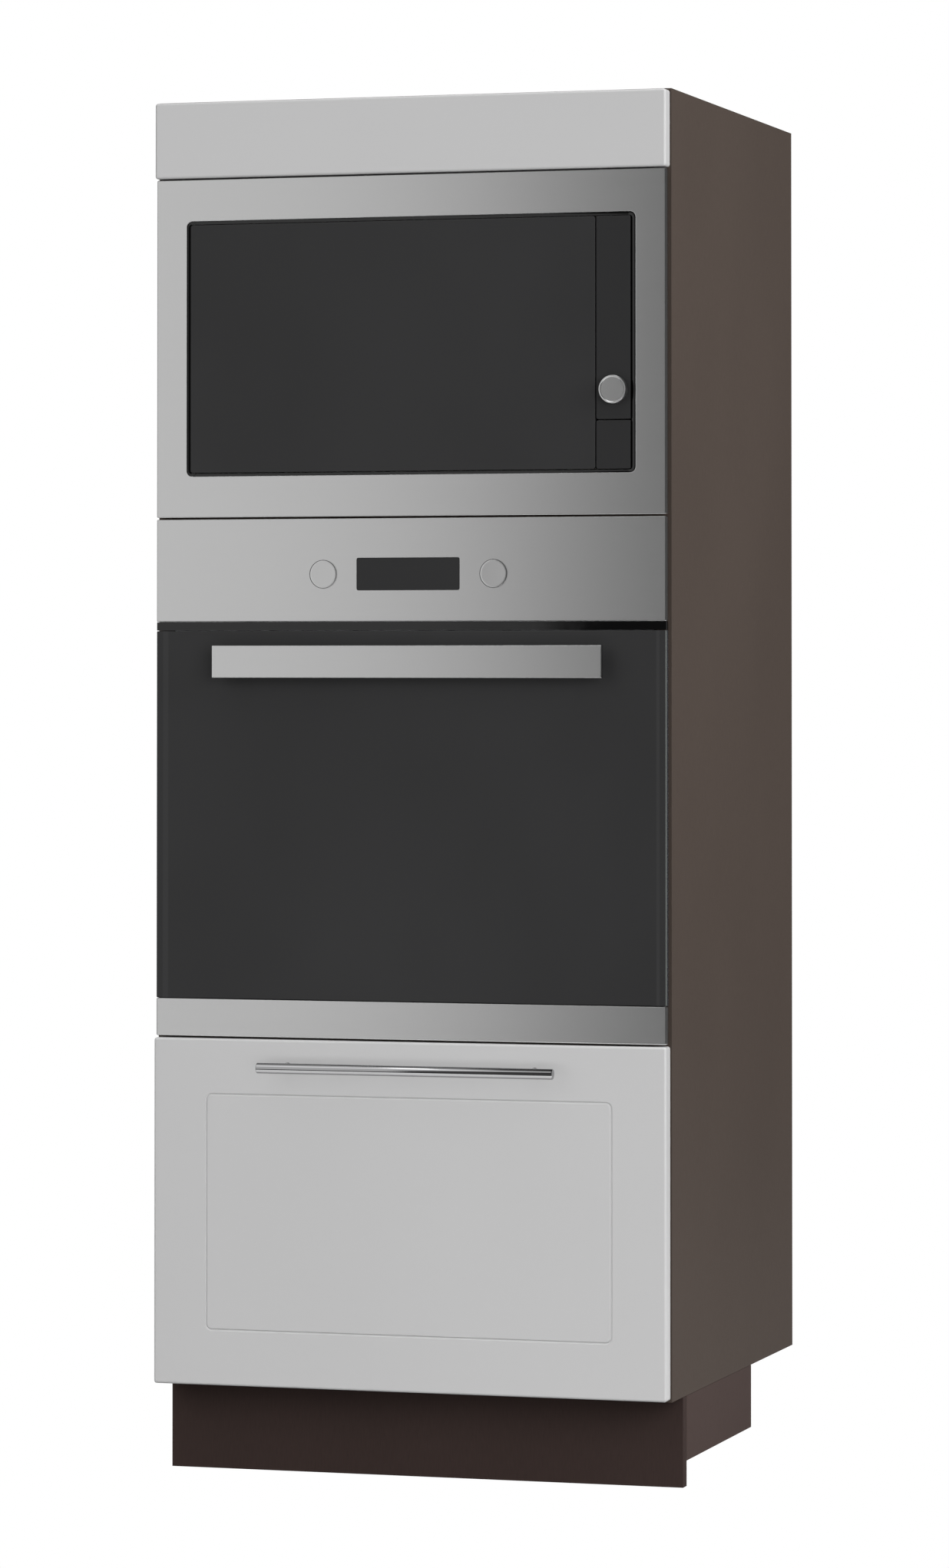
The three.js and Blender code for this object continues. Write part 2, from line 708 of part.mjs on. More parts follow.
// A double-walled steel side with the runner's inner member and the gallery rail on its posts.
function drawerSide(side) {
  const outer = side * drawerSideOuter;
  const inner = side * drawerSideInner;
  const top = drawerBoxBottom + drawerSideHeight;
  const railX = (outer + inner) / 2;
  const railZ = drawerBoxBottom + galleryRailRise;
  const wall = profileAlongY(
    polygon([
      [outer, drawerBoxBottom], [outer, top], [inner, top], [inner, drawerBoxBottom],
      [inner + side * drawerSheet, drawerBoxBottom], [inner + side * drawerSheet, top - drawerSheet],
      [outer - side * drawerSheet, top - drawerSheet], [outer - side * drawerSheet, drawerBoxBottom],
    ]),
    drawerBoxFront, drawerBoxBack,
  );
  const member = profileAlongY(
    channel(
      side, runnerWidth + assemblyGap + drawerSheet / 2, middleWebX + runnerGauge + runnerPlay * 2,
      innerMemberHalf,
    ),
    runnerSetback, runnerMiddleBack,
  );
  const rail = profileAlongY(disc(railX, railZ, galleryRailRadius), drawerBoxFront, drawerBoxBack, 8);
  const postTop = railZ + galleryRailRadius;
  const posts = [
    block(outer, inner, drawerBoxFront, drawerBoxFront + galleryPostThickness, top - overcut, postTop),
    block(outer, inner, drawerBoxBack - galleryPostThickness, drawerBoxBack, top - overcut, postTop),
  ];
  return join(wall, member, rail, ...posts);
}

// A round bar handle on two posts.
function drawerHandle() {
  const z = drawerFrontBottom + drawerFrontHeight - drawerHandleDrop;
  const y = frontFace - drawerHandleReach;
  const end = drawerHandleLength / 2;
  const bar = new THREE.LatheGeometry(
    [
      new THREE.Vector2(0, -end),
      new THREE.Vector2(drawerHandleRadius - drawerHandleChamfer, -end),
      new THREE.Vector2(drawerHandleRadius, -end + drawerHandleChamfer),
      new THREE.Vector2(drawerHandleRadius, end - drawerHandleChamfer),
      new THREE.Vector2(drawerHandleRadius - drawerHandleChamfer, end),
      new THREE.Vector2(0, end),
    ],
    24,
  );
  const posts = sides.map(([, side]) =>
    profileAlongY(
      disc(drawerHandleShift + (side * drawerHandleSpacing) / 2, z, drawerHandlePostRadius), y,
      frontFace - assemblyGap, 8,
    ),
  );
  return join(solid(bar.rotateZ(-Math.PI / 2).translate(drawerHandleShift, y, z)), ...posts);
}

function drawer() {
  const half = drawerSideInner - assemblyGap;
  const baseBottom = drawerBoxBottom + drawerBaseRise;
  const baseTop = baseBottom + drawerBaseThickness;
  const face = cut(
    frontPanel(drawerFrontBottom, drawerFrontHeight), mouldingLine(drawerFrontBottom, drawerFrontHeight),
  );
  const made = group(
    0,
    piece("drawer_front", face, "front"),
    piece("drawer_handle", drawerHandle(), "chrome"),
    piece("drawer_base", block(-half, half, drawerBoxFront, drawerBoxBack, baseBottom, baseTop), "front"),
    piece(
      "drawer_back",
      block(
        -half, half, drawerBoxBack - drawerBackThickness, drawerBoxBack,
        baseTop + assemblyGap, drawerBoxBottom + drawerBackHeight,
      ),
      "front",
    ),
  );
  for (const [name, side] of sides) {
    made.add(piece("drawer_side_" + name, drawerSide(side), "runner"));
    const fixed = channel(side, assemblyGap, runnerWidth - runnerGauge * 2, runnerHalf);
    made.add(
      piece(
        "runner_fixed_" + name,
        profileAlongY(fixed, runnerSetback, runnerBack),
        "runner",
      ),
      piece(
        "runner_middle_" + name,
        profileAlongY(doubleTrack(side), runnerSetback, runnerMiddleBack),
        "runner",
      ),
    );
  }
  return made;
}

// ---------------------------------------------------------------- appliance casings

// A folded steel front: a plate with a return of the same gauge along each edge.
function foldedFront(bottom, top, corner) {
  const inside = block(
    -applianceHalf + frontSheet, applianceHalf - frontSheet, applianceFace + frontSheet,
    applianceSkinBack + overcut, bottom + frontSheet, top - frontSheet,
  );
  const plate = facePlate(
    -applianceHalf, applianceHalf, bottom, top, corner, applianceFace, applianceSkinBack,
    applianceEdgeRadius,
  );
  return cut(plate, inside);
}

// Two columns of louvres through a casing's rear wall.
function louvres(lowest, back) {
  const slots = [];
  for (const [, side] of sides) {
    const left = side * louvreSpread - louvreLength / 2;
    for (let row = 0; row < louvreCount; row++) {
      const z = lowest + row * louvrePitch;
      slots.push(
        block(left, left + louvreLength, back - bodySheet - overcut, back + overcut, z, z + louvreHeight),
      );
    }
  }
  return slots;
}

// The cover of the mains terminals, with the gland that a supply cable enters.
function terminalCover(right, top, back) {
  const left = right - terminalWidth;
  const bottom = top - terminalHeight;
  const front = back - overcut;
  const rear = back + terminalDepth;
  const centreX = (left + right) / 2;
  const centreY = (front + rear) / 2;
  const gland = profileAlongZ(
    disc(centreX, centreY, glandRadius), bottom - glandLength, bottom + overcut, 8,
  );
  const entry = profileAlongZ(
    disc(centreX, centreY, glandRadius / 2), bottom - glandLength - overcut, bottom + glandBoreDepth, 6,
  );
  return cut(join(block(left, right, front, rear, bottom, top), gland), entry);
}

// An open-fronted liner of one gauge, with the flange that closes the casing round its mouth.
function liner(left, right, bottom, top, corner, back, flange) {
  const mouth = roundedRectangle(left, right, bottom, top, corner);
  const skin = roundedRectangle(
    left - bodySheet, right + bodySheet, bottom - bodySheet, top + bodySheet, corner + bodySheet,
  );
  const shell = join(
    profileAlongY(skin, linerSetback, back + bodySheet, 4),
    block(
      flange.left, flange.right, linerSetback, linerSetback + bodySheet, flange.bottom, flange.top,
    ),
  );
  return cut(shell, profileAlongY(mouth, linerSetback - overcut, back, 4));
}

// ---------------------------------------------------------------- oven body

const ovenRoom = {
  half: ovenBodyHalf - bodySheet,
  bottom: assemblyGap + bodySheet,
  top: trimStripBottom - bodySheet,
};

// A round cup in the casing's front for a pushed-in knob, with the tube that guides the knob's shaft.
function knobCup(x) {
  const outer = knobHoleRadius + knobCupWall;
  const wallBack = knobCupFloor + knobCupWall;
  const tubeRadius = knobShaftRadius * 2;
  const tubeEnd = wallBack + knobTravel + knobShaftLength / 3;
  const bore = knobShaftRadius + shaftPlay;
  return turnedY(
    [
      [knobHoleRadius, bodyFront],
      [outer, bodyFront],
      [outer, wallBack],
      [tubeRadius, wallBack],
      [tubeRadius, tubeEnd],
      [bore, tubeEnd],
      [bore, knobCupFloor],
      [knobHoleRadius, knobCupFloor],
      [knobHoleRadius, bodyFront],
    ],
    x, controlRise, 20,
  );
}

// The fan's motor on the casing's rear wall, bored for the fan's shaft.
function fanMotor() {
  const back = ovenBodyDepth - bodySheet / 2;
  const front = back - fanMotorLength;
  const bore = fanShaftRadius + shaftPlay;
  return turnedY(
    [
      [bore, front],
      [fanMotorRadius, front],
      [fanMotorRadius, back],
      [0, back],
      [0, back - fanMotorWall],
      [bore, back - fanMotorWall],
      [bore, front],
    ],
    0, fanRise, 20,
  );
}

// The casing: an open room for door and cavity, and above it a closed one for controls and cooling air.
// Its lower front edge is cut back for the lower edge of the opening door.
function ovenCasing() {
  const back = ovenBodyDepth - bodySheet;
  const holes = sides.map(([, side]) =>
    profileAlongY(
      disc(side * knobHalfSpacing, controlRise, knobHoleRadius + knobCupWall / 2), bodyFront - overcut,
      bodyFront + bodySheet + overcut, 12,
    ),
  );
  const shell = cut(
    block(-ovenBodyHalf, ovenBodyHalf, bodyFront, ovenBodyDepth, assemblyGap, ovenBodyHeight),
    block(-ovenRoom.half, ovenRoom.half, bodyFront - overcut, back, ovenRoom.bottom, ovenRoom.top),
    block(
      -ovenRoom.half, ovenRoom.half, bodyFront + bodySheet, back, trimStripBottom,
      ovenBodyHeight - bodySheet,
    ),
    block(
      -ovenBodyHalf - overcut, ovenBodyHalf + overcut, bodyFront - overcut,
      doorPivotY + railSwing + hingePlay, 0, doorPivotRise + railSwing + hingePlay,
    ),
    ...louvres(trimStripBottom + louvreMargin, ovenBodyDepth),
    ...louvres(ovenCavityFloor, ovenBodyDepth),
    ...holes,
  );
  return join(
    shell, fanMotor(),
    terminalCover(ovenBodyHalf - terminalInset, ovenCavityTop - terminalInset, ovenBodyDepth),
    ...sides.map(([, side]) => knobCup(side * knobHalfSpacing)),
  );
}

// The enamelled cavity with its pressed shelf ribs.
function ovenCavity() {
  const flange = {
    left: -ovenRoom.half + assemblyGap,
    right: ovenRoom.half - assemblyGap,
    bottom: ovenRoom.bottom + assemblyGap,
    top: ovenRoom.top - assemblyGap,
  };
  const shell = liner(
    -ovenCavityHalf, ovenCavityHalf, ovenCavityFloor, ovenCavityTop, ovenCavityCorner, ovenCavityBack,
    flange,
  );
  const ribs = [];
  for (let level = 0; level < shelfRibCount; level++) {
    const z = ribTop(level) - shelfRibHeight;
    for (const [, side] of sides) {
      const wall = side * (ovenCavityHalf + bodySheet / 2);
      const crest = side * (ovenCavityHalf - shelfRibDepth);
      const section = polygon([
        [wall, z - shelfRibSlope],
        [crest, z + shelfRibSlope],
        [crest, z + shelfRibHeight],
        [wall, z + shelfRibHeight],
      ]);
      ribs.push(profileAlongY(section, linerSetback + shelfRibMargin, ovenCavityBack - shelfRibMargin));
    }
  }
  const shaftHole = profileAlongY(
    disc(0, fanRise, fanShaftRadius + shaftPlay), ovenCavityBack - overcut,
    ovenCavityBack + bodySheet + overcut, 6,
  );
  return cut(join(shell, ...ribs), shaftHole);
}

function ribTop(level) {
  const highest = ovenCavityTop - shelfRibHeadroom;
  const lowest = ovenCavityFloor + shelfRibFirst;
  return lowest + ((highest - lowest) * level) / (shelfRibCount - 1);
}

// The door seal round the cavity's mouth.
function ovenDoorSeal() {
  const line = (offset) =>
    roundedRectangle(
      -ovenCavityHalf - offset, ovenCavityHalf + offset, ovenCavityFloor - offset, ovenCavityTop + offset,
      ovenCavityCorner + offset,
    );
  const outline = line(sealOffset + sealWidth);
  outline.holes.push(line(sealOffset));
  return profileAlongY(outline, doorTrayBack + assemblyGap, linerSetback - assemblyGap, 4);
}

// The fixed hinge bracket: a plate whose nose carries the door's pin.
function ovenHinge(side) {
  const near = doorTrayHalf + hingeSideGap;
  const y = doorPivotY;
  const z = doorPivotRise;
  const back = linerSetback - assemblyGap;
  const r = hingeNoseRadius;
  const outline = new THREE.Shape()
    .moveTo(back, z - r)
    .lineTo(back, z - r + hingeBracketHeight)
    .lineTo(y + r * 4, z - r + hingeBracketHeight)
    .lineTo(y + r * 2, z + r)
    .lineTo(y, z + r)
    .absarc(y, z, r, Math.PI / 2, Math.PI * 1.5)
    .lineTo(back, z - r);
  const plate = profileAlongX(outline, side * near, side * (near + hingeThickness), 6);
  const eye = profileAlongX(
    disc(y, z, hingePinRadius + shaftPlay), side * (near - overcut),
    side * (near + hingeThickness + overcut), 6,
  );
  return cut(plate, eye);
}

// ---------------------------------------------------------------- oven fittings

function barAlongX(radius, x0, x1, y, z) {
  return profileAlongX(disc(y, z, radius), x0, x1, 4);
}

function barAlongY(radius, x, y0, y1, z) {
  return profileAlongY(disc(x, z, radius), y0, y1, 4);
}

// A wire shelf: a frame of thicker rods with thinner wires from front to back.
function ovenRack() {
  const half = accessoryHalf - rackFrameRadius;
  const front = accessoryFront;
  const back = accessoryBack;
  const z = ribTop(rackLevel) + assemblyGap + rackFrameRadius;
  const bars = [
    barAlongY(rackFrameRadius, half, front, back, z),
    barAlongX(rackFrameRadius, -half, half, front + rackFrameRadius, z),
    barAlongX(rackFrameRadius, -half, half, back - rackFrameRadius, z),
    barAlongX(rackWireRadius, -half, half, (front + back) / 2, z),
  ];
  for (let wire = 1; wire <= rackWireCount; wire++) {
    const x = -half + (2 * half * wire) / (rackWireCount + 1);
    bars.push(barAlongY(rackWireRadius, x, front + rackFrameRadius, back - rackFrameRadius, z));
  }
  return join(barAlongY(rackFrameRadius, -half, front, back, z), ...bars);
}

// A roasting tray that hangs by its rim on a pair of shelf ribs.
function ovenTray() {
  const rim = ribTop(trayLevel) + assemblyGap;
  const plan = (inset, radius) =>
    roundedRectangle(
      -accessoryHalf + inset, accessoryHalf - inset, accessoryFront + inset, accessoryBack - inset, radius,
    );
  const pan = join(
    profileAlongZ(plan(0, trayCorner), rim, rim + traySheet, 4),
    profileAlongZ(plan(trayRimWidth, trayCorner), rim - trayDepth, rim + traySheet / 2, 4),
  );
  const inside = profileAlongZ(
    plan(trayRimWidth + traySheet, trayCorner - traySheet), rim - trayDepth + traySheet,
    rim + traySheet + overcut, 4,
  );
  return cut(pan, inside);
}

// A half-turn of a tube in a horizontal plane.
class HalfTurn extends THREE.Curve {
  constructor(centre, radius, forward) {
    super();
    this.centre = centre;
    this.radius = radius;
    this.forward = forward;
  }
  getPoint(t, target = new THREE.Vector3()) {
    const angle = Math.PI * (1 - t);
    const y = this.centre.y - this.forward * this.radius * Math.sin(angle);
    return target.set(this.centre.x + this.radius * Math.cos(angle), y, this.centre.z);
  }
}

// The grill element: one tube in four runs, with both its ends in the cavity's rear wall.
function grillElement() {
  const z = ovenCavityTop - grillDrop;
  const bend = (ovenCavityHalf - grillSideMargin) / 3; // half the spacing of the four runs
  const front = linerSetback + grillFrontMargin + bend;
  const rear = ovenCavityBack - grillRearMargin - bend;
  const back = ovenCavityBack - assemblyGap;
  const at = (x, y) => new THREE.Vector3(x, y, z);
  const first = -3 * bend;
  const path = new THREE.CurvePath();
  path.add(new THREE.LineCurve3(at(first, back), at(first, front)));
  path.add(new HalfTurn(at(first + bend, front), bend, 1));
  path.add(new THREE.LineCurve3(at(first + 2 * bend, front), at(first + 2 * bend, rear)));
  path.add(new HalfTurn(at(first + 3 * bend, rear), bend, -1));
  path.add(new THREE.LineCurve3(at(first + 4 * bend, rear), at(first + 4 * bend, front)));
  path.add(new HalfTurn(at(first + 5 * bend, front), bend, 1));
  path.add(new THREE.LineCurve3(at(first + 6 * bend, front), at(first + 6 * bend, back)));
  const tube = new THREE.ExtrudeGeometry(disc(0, 0, grillTubeRadius), {
    extrudePath: path,
    steps: 40,
    curveSegments: 4,
  });
  return solid(tube);
}

// The pressed cover of the circulation fan, with a wheel of slots.
function ovenFanCover() {
  const half = fanCoverSize / 2;
  const front = ovenCavityBack - fanCoverDepth;
  const back = ovenCavityBack - assemblyGap;
  const plan = (inset) =>
    roundedRectangle(
      -half + inset, half - inset, fanRise - half + inset, fanRise + half - inset, fanCoverCorner - inset,
    );
  const cover = facePlate(
    -half, half, fanRise - half, fanRise + half, fanCoverCorner, front, back, fanCoverEdge, 2,
  );
  const inside = profileAlongY(plan(bodySheet), front + bodySheet, back + overcut, 4);
  const slots = [];
  for (let i = 0; i < fanSlotCount; i++) {
    const slot = new THREE.BoxGeometry(fanSlotOuter - fanSlotInner, bodySheet * 4, fanSlotWidth)
      .translate((fanSlotInner + fanSlotOuter) / 2, front, 0)
      .rotateY((i * Math.PI * 2) / fanSlotCount)
      .translate(0, 0, fanRise);
    slots.push(solid(slot));
  }
  return cut(cover, inside, ...slots);
}

// The circulation fan: hub, disc and radial blades on its shaft.
function ovenFan() {
  const back = ovenCavityBack - bodySheet * 2;
  const front = back - fanBladeWidth;
  const wheel = turnedY(
    [
      [0, front - fanHubProud],
      [fanHubRadius, front - fanHubProud],
      [fanHubRadius, back - fanDiscThickness],
      [fanRadius - fanDiscInset, back - fanDiscThickness],
      [fanRadius - fanDiscInset, back],
      [fanShaftRadius, back],
      [fanShaftRadius, back + fanShaftLength],
      [0, back + fanShaftLength],
    ],
    0, fanRise, 24,
  );
  const blades = [];
  for (let i = 0; i < fanBladeCount; i++) {
    const inner = fanHubRadius - fanBladeRoot;
    const width = fanBladeWidth - fanDiscThickness / 2;
    const blade = new THREE.BoxGeometry(fanRadius - inner, width, fanBladeThickness)
      .translate((fanRadius + inner) / 2, front + width / 2, 0)
      .rotateY(((i + 0.5) * Math.PI * 2) / fanBladeCount)
      .translate(0, 0, fanRise);
    blades.push(solid(blade));
  }
  return join(wheel, ...blades);
}

// ---------------------------------------------------------------- oven controls

// The steel fascia, with a raised collar round each knob and the display's opening.
function ovenFascia() {
  const collars = [];
  const holes = [];
  for (const [, side] of sides) {
    const x = side * knobHalfSpacing;
    const collar = disc(x, controlRise, knobHoleRadius + knobCollarWidth);
    collars.push(profileAlongY(collar, applianceFace - knobCollarHeight, applianceFace + frontSheet, 12));
    const hole = disc(x, controlRise, knobHoleRadius);
    holes.push(profileAlongY(hole, applianceFace - knobCollarHeight - overcut, applianceSkinBack, 12));
  }
  const windowHole = profileAlongY(
    displayOutline(assemblyGap), applianceFace - overcut, applianceSkinBack, 3,
  );
  const front = foldedFront(ovenPanelBottom, ovenHeight, frontCorner);
  return cut(join(front, ...collars), ...holes, windowHole);
}

function displayOutline(offset) {
  return roundedRectangle(
    -displayWidth / 2 - offset, displayWidth / 2 + offset, controlRise - displayHeight / 2 - offset,
    controlRise + displayHeight / 2 + offset, displayCorner + offset,
  );
}

// A pop-out knob: a fluted barrel with a smooth cap, bored from behind for its shaft.
function ovenKnob(x) {
  const flutes = [];
  for (let i = 0; i < knobFluteCount; i++) {
    const angle = (i * Math.PI * 2) / knobFluteCount;
    const radius = knobRadius + knobFluteOffset;
    const flute = disc(
      x + radius * Math.cos(angle), controlRise + radius * Math.sin(angle), knobFluteRadius,
    );
    flutes.push(profileAlongY(flute, knobFace + knobCapLength, knobBack + overcut, 3));
  }
  const barrel = turnedY(
    [
      [0, knobFace],
      [knobRadius - knobEdge, knobFace],
      [knobRadius, knobFace + knobEdge],
      [knobRadius, knobBack],
      [knobShaftRadius + shaftPlay, knobBack],
      [knobShaftRadius + shaftPlay, knobBack - knobBoreDepth],
      [0, knobBack - knobBoreDepth],
    ],
    x, controlRise,
  );
  return cut(barrel, ...flutes);
}

function ovenKnobShaft(x) {
  const front = knobBack - knobBoreDepth + assemblyGap;
  const shaft = disc(x, controlRise, knobShaftRadius);
  return profileAlongY(shaft, front, front + knobShaftLength, 8);
}

function ovenControls() {
  const made = group(
    ovenBottom,
    piece("oven_fascia", ovenFascia(), "steel"),
    piece(
      "oven_display",
      profileAlongY(displayOutline(0), applianceFace + displayRecess, applianceSkinBack, 3),
      "blackGlass",
    ),
    piece(
      "oven_trim_strip",
      block(
        -applianceHalf, applianceHalf, applianceFace + ovenTrimRecess, applianceSkinBack,
        trimStripBottom, trimStripTop,
      ),
      "glossBlack",
    ),
  );
  for (const [name, side] of sides) {
    made.add(
      piece("oven_knob_" + name, ovenKnob(side * knobHalfSpacing), "steel"),
      piece("oven_knob_shaft_" + name, ovenKnobShaft(side * knobHalfSpacing), "galvanised"),
    );
  }
  return made;
}

function oven() {
  const made = group(
    ovenBottom,
    piece("oven_casing", ovenCasing(), "galvanised"),
    piece("oven_cavity", ovenCavity(), "enamel"),
    piece("oven_door_seal", ovenDoorSeal(), "rubber"),
    piece("oven_rack", ovenRack(), "chrome"),
    piece("oven_tray", ovenTray(), "enamel"),
    piece("grill_element", grillElement(), "galvanised"),
    piece("oven_fan_cover", ovenFanCover(), "enamel"),
    piece("oven_fan", ovenFan(), "galvanised"),
  );
  for (const [name, side] of sides) {
    made.add(piece("oven_hinge_" + name, ovenHinge(side), "galvanised"));
  }
  return made;
}

// ---------------------------------------------------------------- oven door

const glassBack = applianceFace + glassThickness;

// The steel rail along the door's lower edge: a channel that is open behind, and cut away below where
// the hinge brackets pass when the door is down.
function ovenDoorRail() {
  const rail = cut(
    facePlate(
      -applianceHalf, applianceHalf, 0, ovenDoorRailHeight, doorRailCorner, applianceFace,
      applianceSkinBack, frontCorner,
    ),
    block(
      -applianceHalf + frontSheet, applianceHalf - frontSheet, applianceFace + frontSheet,
      applianceSkinBack + overcut, frontSheet, ovenDoorRailHeight - frontSheet,
    ),
  );
  const notches = sides.map(([, side]) =>
    block(
      side * doorTrayHalf, side * (doorTrayHalf + hingeSideGap + hingeThickness + hingeNotchPlay),
      applianceFace + frontSheet, applianceSkinBack + overcut, -overcut, frontSheet + overcut,
    ),
  );
  return cut(rail, ...notches);
}

// The door's inner tray: a rim behind the outer glass, a deep panel that enters the casing, and the hinge
// arms with their pins.
function ovenDoorTray() {
  const bottom = ovenDoorRailHeight + assemblyGap;
  const rimFront = glassBack + assemblyGap;
  const trayTop = ovenDoorTop - doorTrayTopMargin;
  const rim = cut(
    block(-applianceHalf, applianceHalf, rimFront, applianceSkinBack, bottom, ovenDoorTop),
    block(
      -applianceHalf + bodySheet, applianceHalf - bodySheet, rimFront - overcut,
      applianceSkinBack - bodySheet, bottom + bodySheet, ovenDoorTop - bodySheet,
    ),
  );
  const panel = join(
    block(-doorTrayHalf, doorTrayHalf, bodyFront, doorTrayBack, doorTrayBottom, trayTop),
    block(-doorTrayHalf, doorTrayHalf, applianceSkinBack - bodySheet, doorTrayBack, bottom, trayTop),
  );
  const hollow = block(
    -doorTrayHalf + bodySheet, doorTrayHalf - bodySheet, rimFront - overcut, doorTrayBack - bodySheet,
    doorTrayBottom + bodySheet, trayTop - bodySheet,
  );
  const windowHole = profileAlongY(
    windowOutline(0), doorTrayBack - bodySheet - overcut, doorTrayBack + overcut, 4,
  );
  const arms = sides.map(([, side]) => hingeArm(side));
  return join(cut(join(rim, panel), hollow, windowHole), ...arms);
}

function windowOutline(lap) {
  const half = ovenCavityHalf - doorWindowSideMargin + lap;
  return roundedRectangle(
    -half, half, ovenCavityFloor + doorWindowFloorMargin - lap,
    ovenCavityTop - doorWindowCeilingMargin + lap, doorWindowCorner,
  );
}

function hingeArm(side) {
  const outer = side * doorTrayHalf;
  const front = doorPivotY - hingeNoseRadius + hingePlay;
  const low = doorPivotRise - hingeNoseRadius;
  const arm = block(
    outer, outer - side * hingeArmThickness, front, bodyFront + hingeArmThickness * 2, low,
    low + hingeArmHeight,
  );
  const pin = profileAlongX(
    disc(doorPivotY, doorPivotRise, hingePinRadius),
    outer - side * hingePinEnd, outer + side * (hingeSideGap + hingeThickness + hingePinEnd), 6,
  );
  return join(arm, pin);
}

// A flat bar handle with eased edges on two blocks.
function ovenDoorHandle() {
  const top = ovenDoorTop - ovenHandleDrop;
  const bottom = top - ovenHandleHeight;
  const front = applianceFace - ovenHandleReach;
  const bar = facePlate(
    ovenHandleShift - ovenHandleHalf, ovenHandleShift + ovenHandleHalf, bottom, top, ovenHandleCorner,
    front, front + ovenHandleThickness, ovenHandleEdge,
  );
  const middle = (top + bottom) / 2;
  const posts = sides.map(([, side]) => {
    const x = ovenHandleShift + side * (ovenHandleHalf - ovenHandlePostInset);
    return block(
      x - ovenHandlePostWidth / 2, x + ovenHandlePostWidth / 2, front + ovenHandleThickness / 2,
      applianceFace - assemblyGap, middle - ovenHandlePostHeight / 2, middle + ovenHandlePostHeight / 2,
    );
  });
  return join(bar, ...posts);
}

function ovenDoor() {
  const bottom = ovenDoorRailHeight + assemblyGap;
  const paneBack = doorTrayBack - bodySheet - assemblyGap;
  return group(
    ovenBottom,
    piece("oven_door_rail", ovenDoorRail(), "steel"),
    piece("oven_door_tray", ovenDoorTray(), "enamel"),
    piece(
      "oven_door_glass",
      facePlate(
        -applianceHalf, applianceHalf, bottom, ovenDoorTop, frontCorner, applianceFace, glassBack,
        doorGlassEdge, 2,
      ),
      "blackGlass",
    ),
    piece(
      "oven_door_inner_glass",
      profileAlongY(windowOutline(innerPaneLap), paneBack - glassThickness, paneBack, 4),
      "clearGlass",
    ),
    piece("oven_door_handle", ovenDoorHandle(), "steel"),
  );
}

// ---------------------------------------------------------------- microwave body

function microwaveWindow(inset) {
  return roundedRectangle(
    -microwaveWindowHalf + inset, microwaveWindowHalf - inset, microwaveWindowBottom + inset,
    microwaveWindowTop - inset, microwaveWindowCorner - inset * 0.6,
  );
}

function microwaveFrame() {
  const front = foldedFront(0, microwaveHeight, frontCorner);
  return cut(
    front, profileAlongY(microwaveWindow(0), applianceFace - overcut, applianceSkinBack + overcut, 5),
  );
}

// The glossy ring that shows between the frame and the door, notched for the door's two hinge pins.
function microwaveBezel() {
  const front = applianceFace + frontSheet + assemblyGap;
  const outline = microwaveWindow(-bezelLap);
  outline.holes.push(microwaveWindow(bezelWidth));
  const pinHole = profileAlongZ(
    disc(microwavePivotX, microwavePivotY, microwavePinRadius + shaftPlay),
    microwaveDoorBottom - microwavePinLength - assemblyGap,
    microwaveDoorTop + microwavePinLength + assemblyGap, 6,
  );
  return cut(profileAlongY(outline, front, front + bezelThickness, 5), pinHole);
}

const microwaveHalf = innerHalf - microwaveBodyPlay;
const microwaveFloor = microwaveShelfCover + assemblyGap;
const microwaveCeiling = microwaveHeight - upperRailCover - microwaveBodyClearance;

function microwaveCasing() {
  const front = applianceFace + frontSheet + assemblyGap;
  const back = microwaveBodyDepth;
  const shell = cut(
    block(-microwaveHalf, microwaveHalf, front, back, microwaveFloor, microwaveCeiling),
    block(
      -microwaveHalf + bodySheet, microwaveHalf - bodySheet, front - overcut, back - bodySheet,
      microwaveFloor + bodySheet, microwaveCeiling - bodySheet,
    ),
    ...louvres((microwaveCavityFloor + microwaveCavityTop) / 2, back),
  );
  return join(
    shell, terminalCover(microwaveHalf - terminalInset, microwaveCavityFloor + terminalHeight, back),
  );
}

// The microwave's cavity, with the holes of the turntable's coupling and of the release button's stem.
function microwaveCavity() {
  const flange = {
    left: -microwaveHalf + bodySheet + assemblyGap,
    right: microwaveHalf - bodySheet - assemblyGap,
    bottom: microwaveFloor + bodySheet + assemblyGap,
    top: microwaveCeiling - bodySheet - assemblyGap,
  };
  const shell = liner(
    microwaveCavityLeft, microwaveCavityRight, microwaveCavityFloor, microwaveCavityTop,
    microwaveCavityCorner, microwaveCavityBack, flange,
  );
  const coupling = profileAlongZ(
    disc(turntableX, turntableY, turntableHubRadius + shaftPlay), microwaveCavityFloor - couplingHoleDepth,
    microwaveCavityFloor + overcut, 10,
  );
  const stemHole = profileAlongY(
    disc(stripCentre, buttonMiddle, buttonStemRadius + shaftPlay), linerSetback - overcut,
    linerSetback + bodySheet + overcut, 6,
  );
  return cut(shell, coupling, stemHole);
}

// ---------------------------------------------------------------- microwave door and controls

const microwavePivotX = microwaveDoorLeft + microwavePivotInset;
const microwavePivotY = applianceFace + microwavePivotSetback;
const buttonMiddle = microwaveDoorBottom + releaseButtonHeight / 2;

// The door's glass with the pivot pins in its upper and lower edges.
function microwaveDoorGlass() {
  const glass = facePlate(
    microwaveDoorLeft, microwaveDoorRight, microwaveDoorBottom, microwaveDoorTop, microwaveDoorCorner,
    applianceFace, glassBack, microwaveDoorEdge, 2,
  );
  const pin = disc(microwavePivotX, microwavePivotY, microwavePinRadius);
  const low = microwaveDoorBottom - microwavePinLength;
  const high = microwaveDoorTop + microwavePinLength;
  return join(
    glass,
    profileAlongZ(pin, low, microwaveDoorBottom + microwavePinRoot, 5),
    profileAlongZ(pin, microwaveDoorTop - microwavePinRoot, high, 5),
  );
}

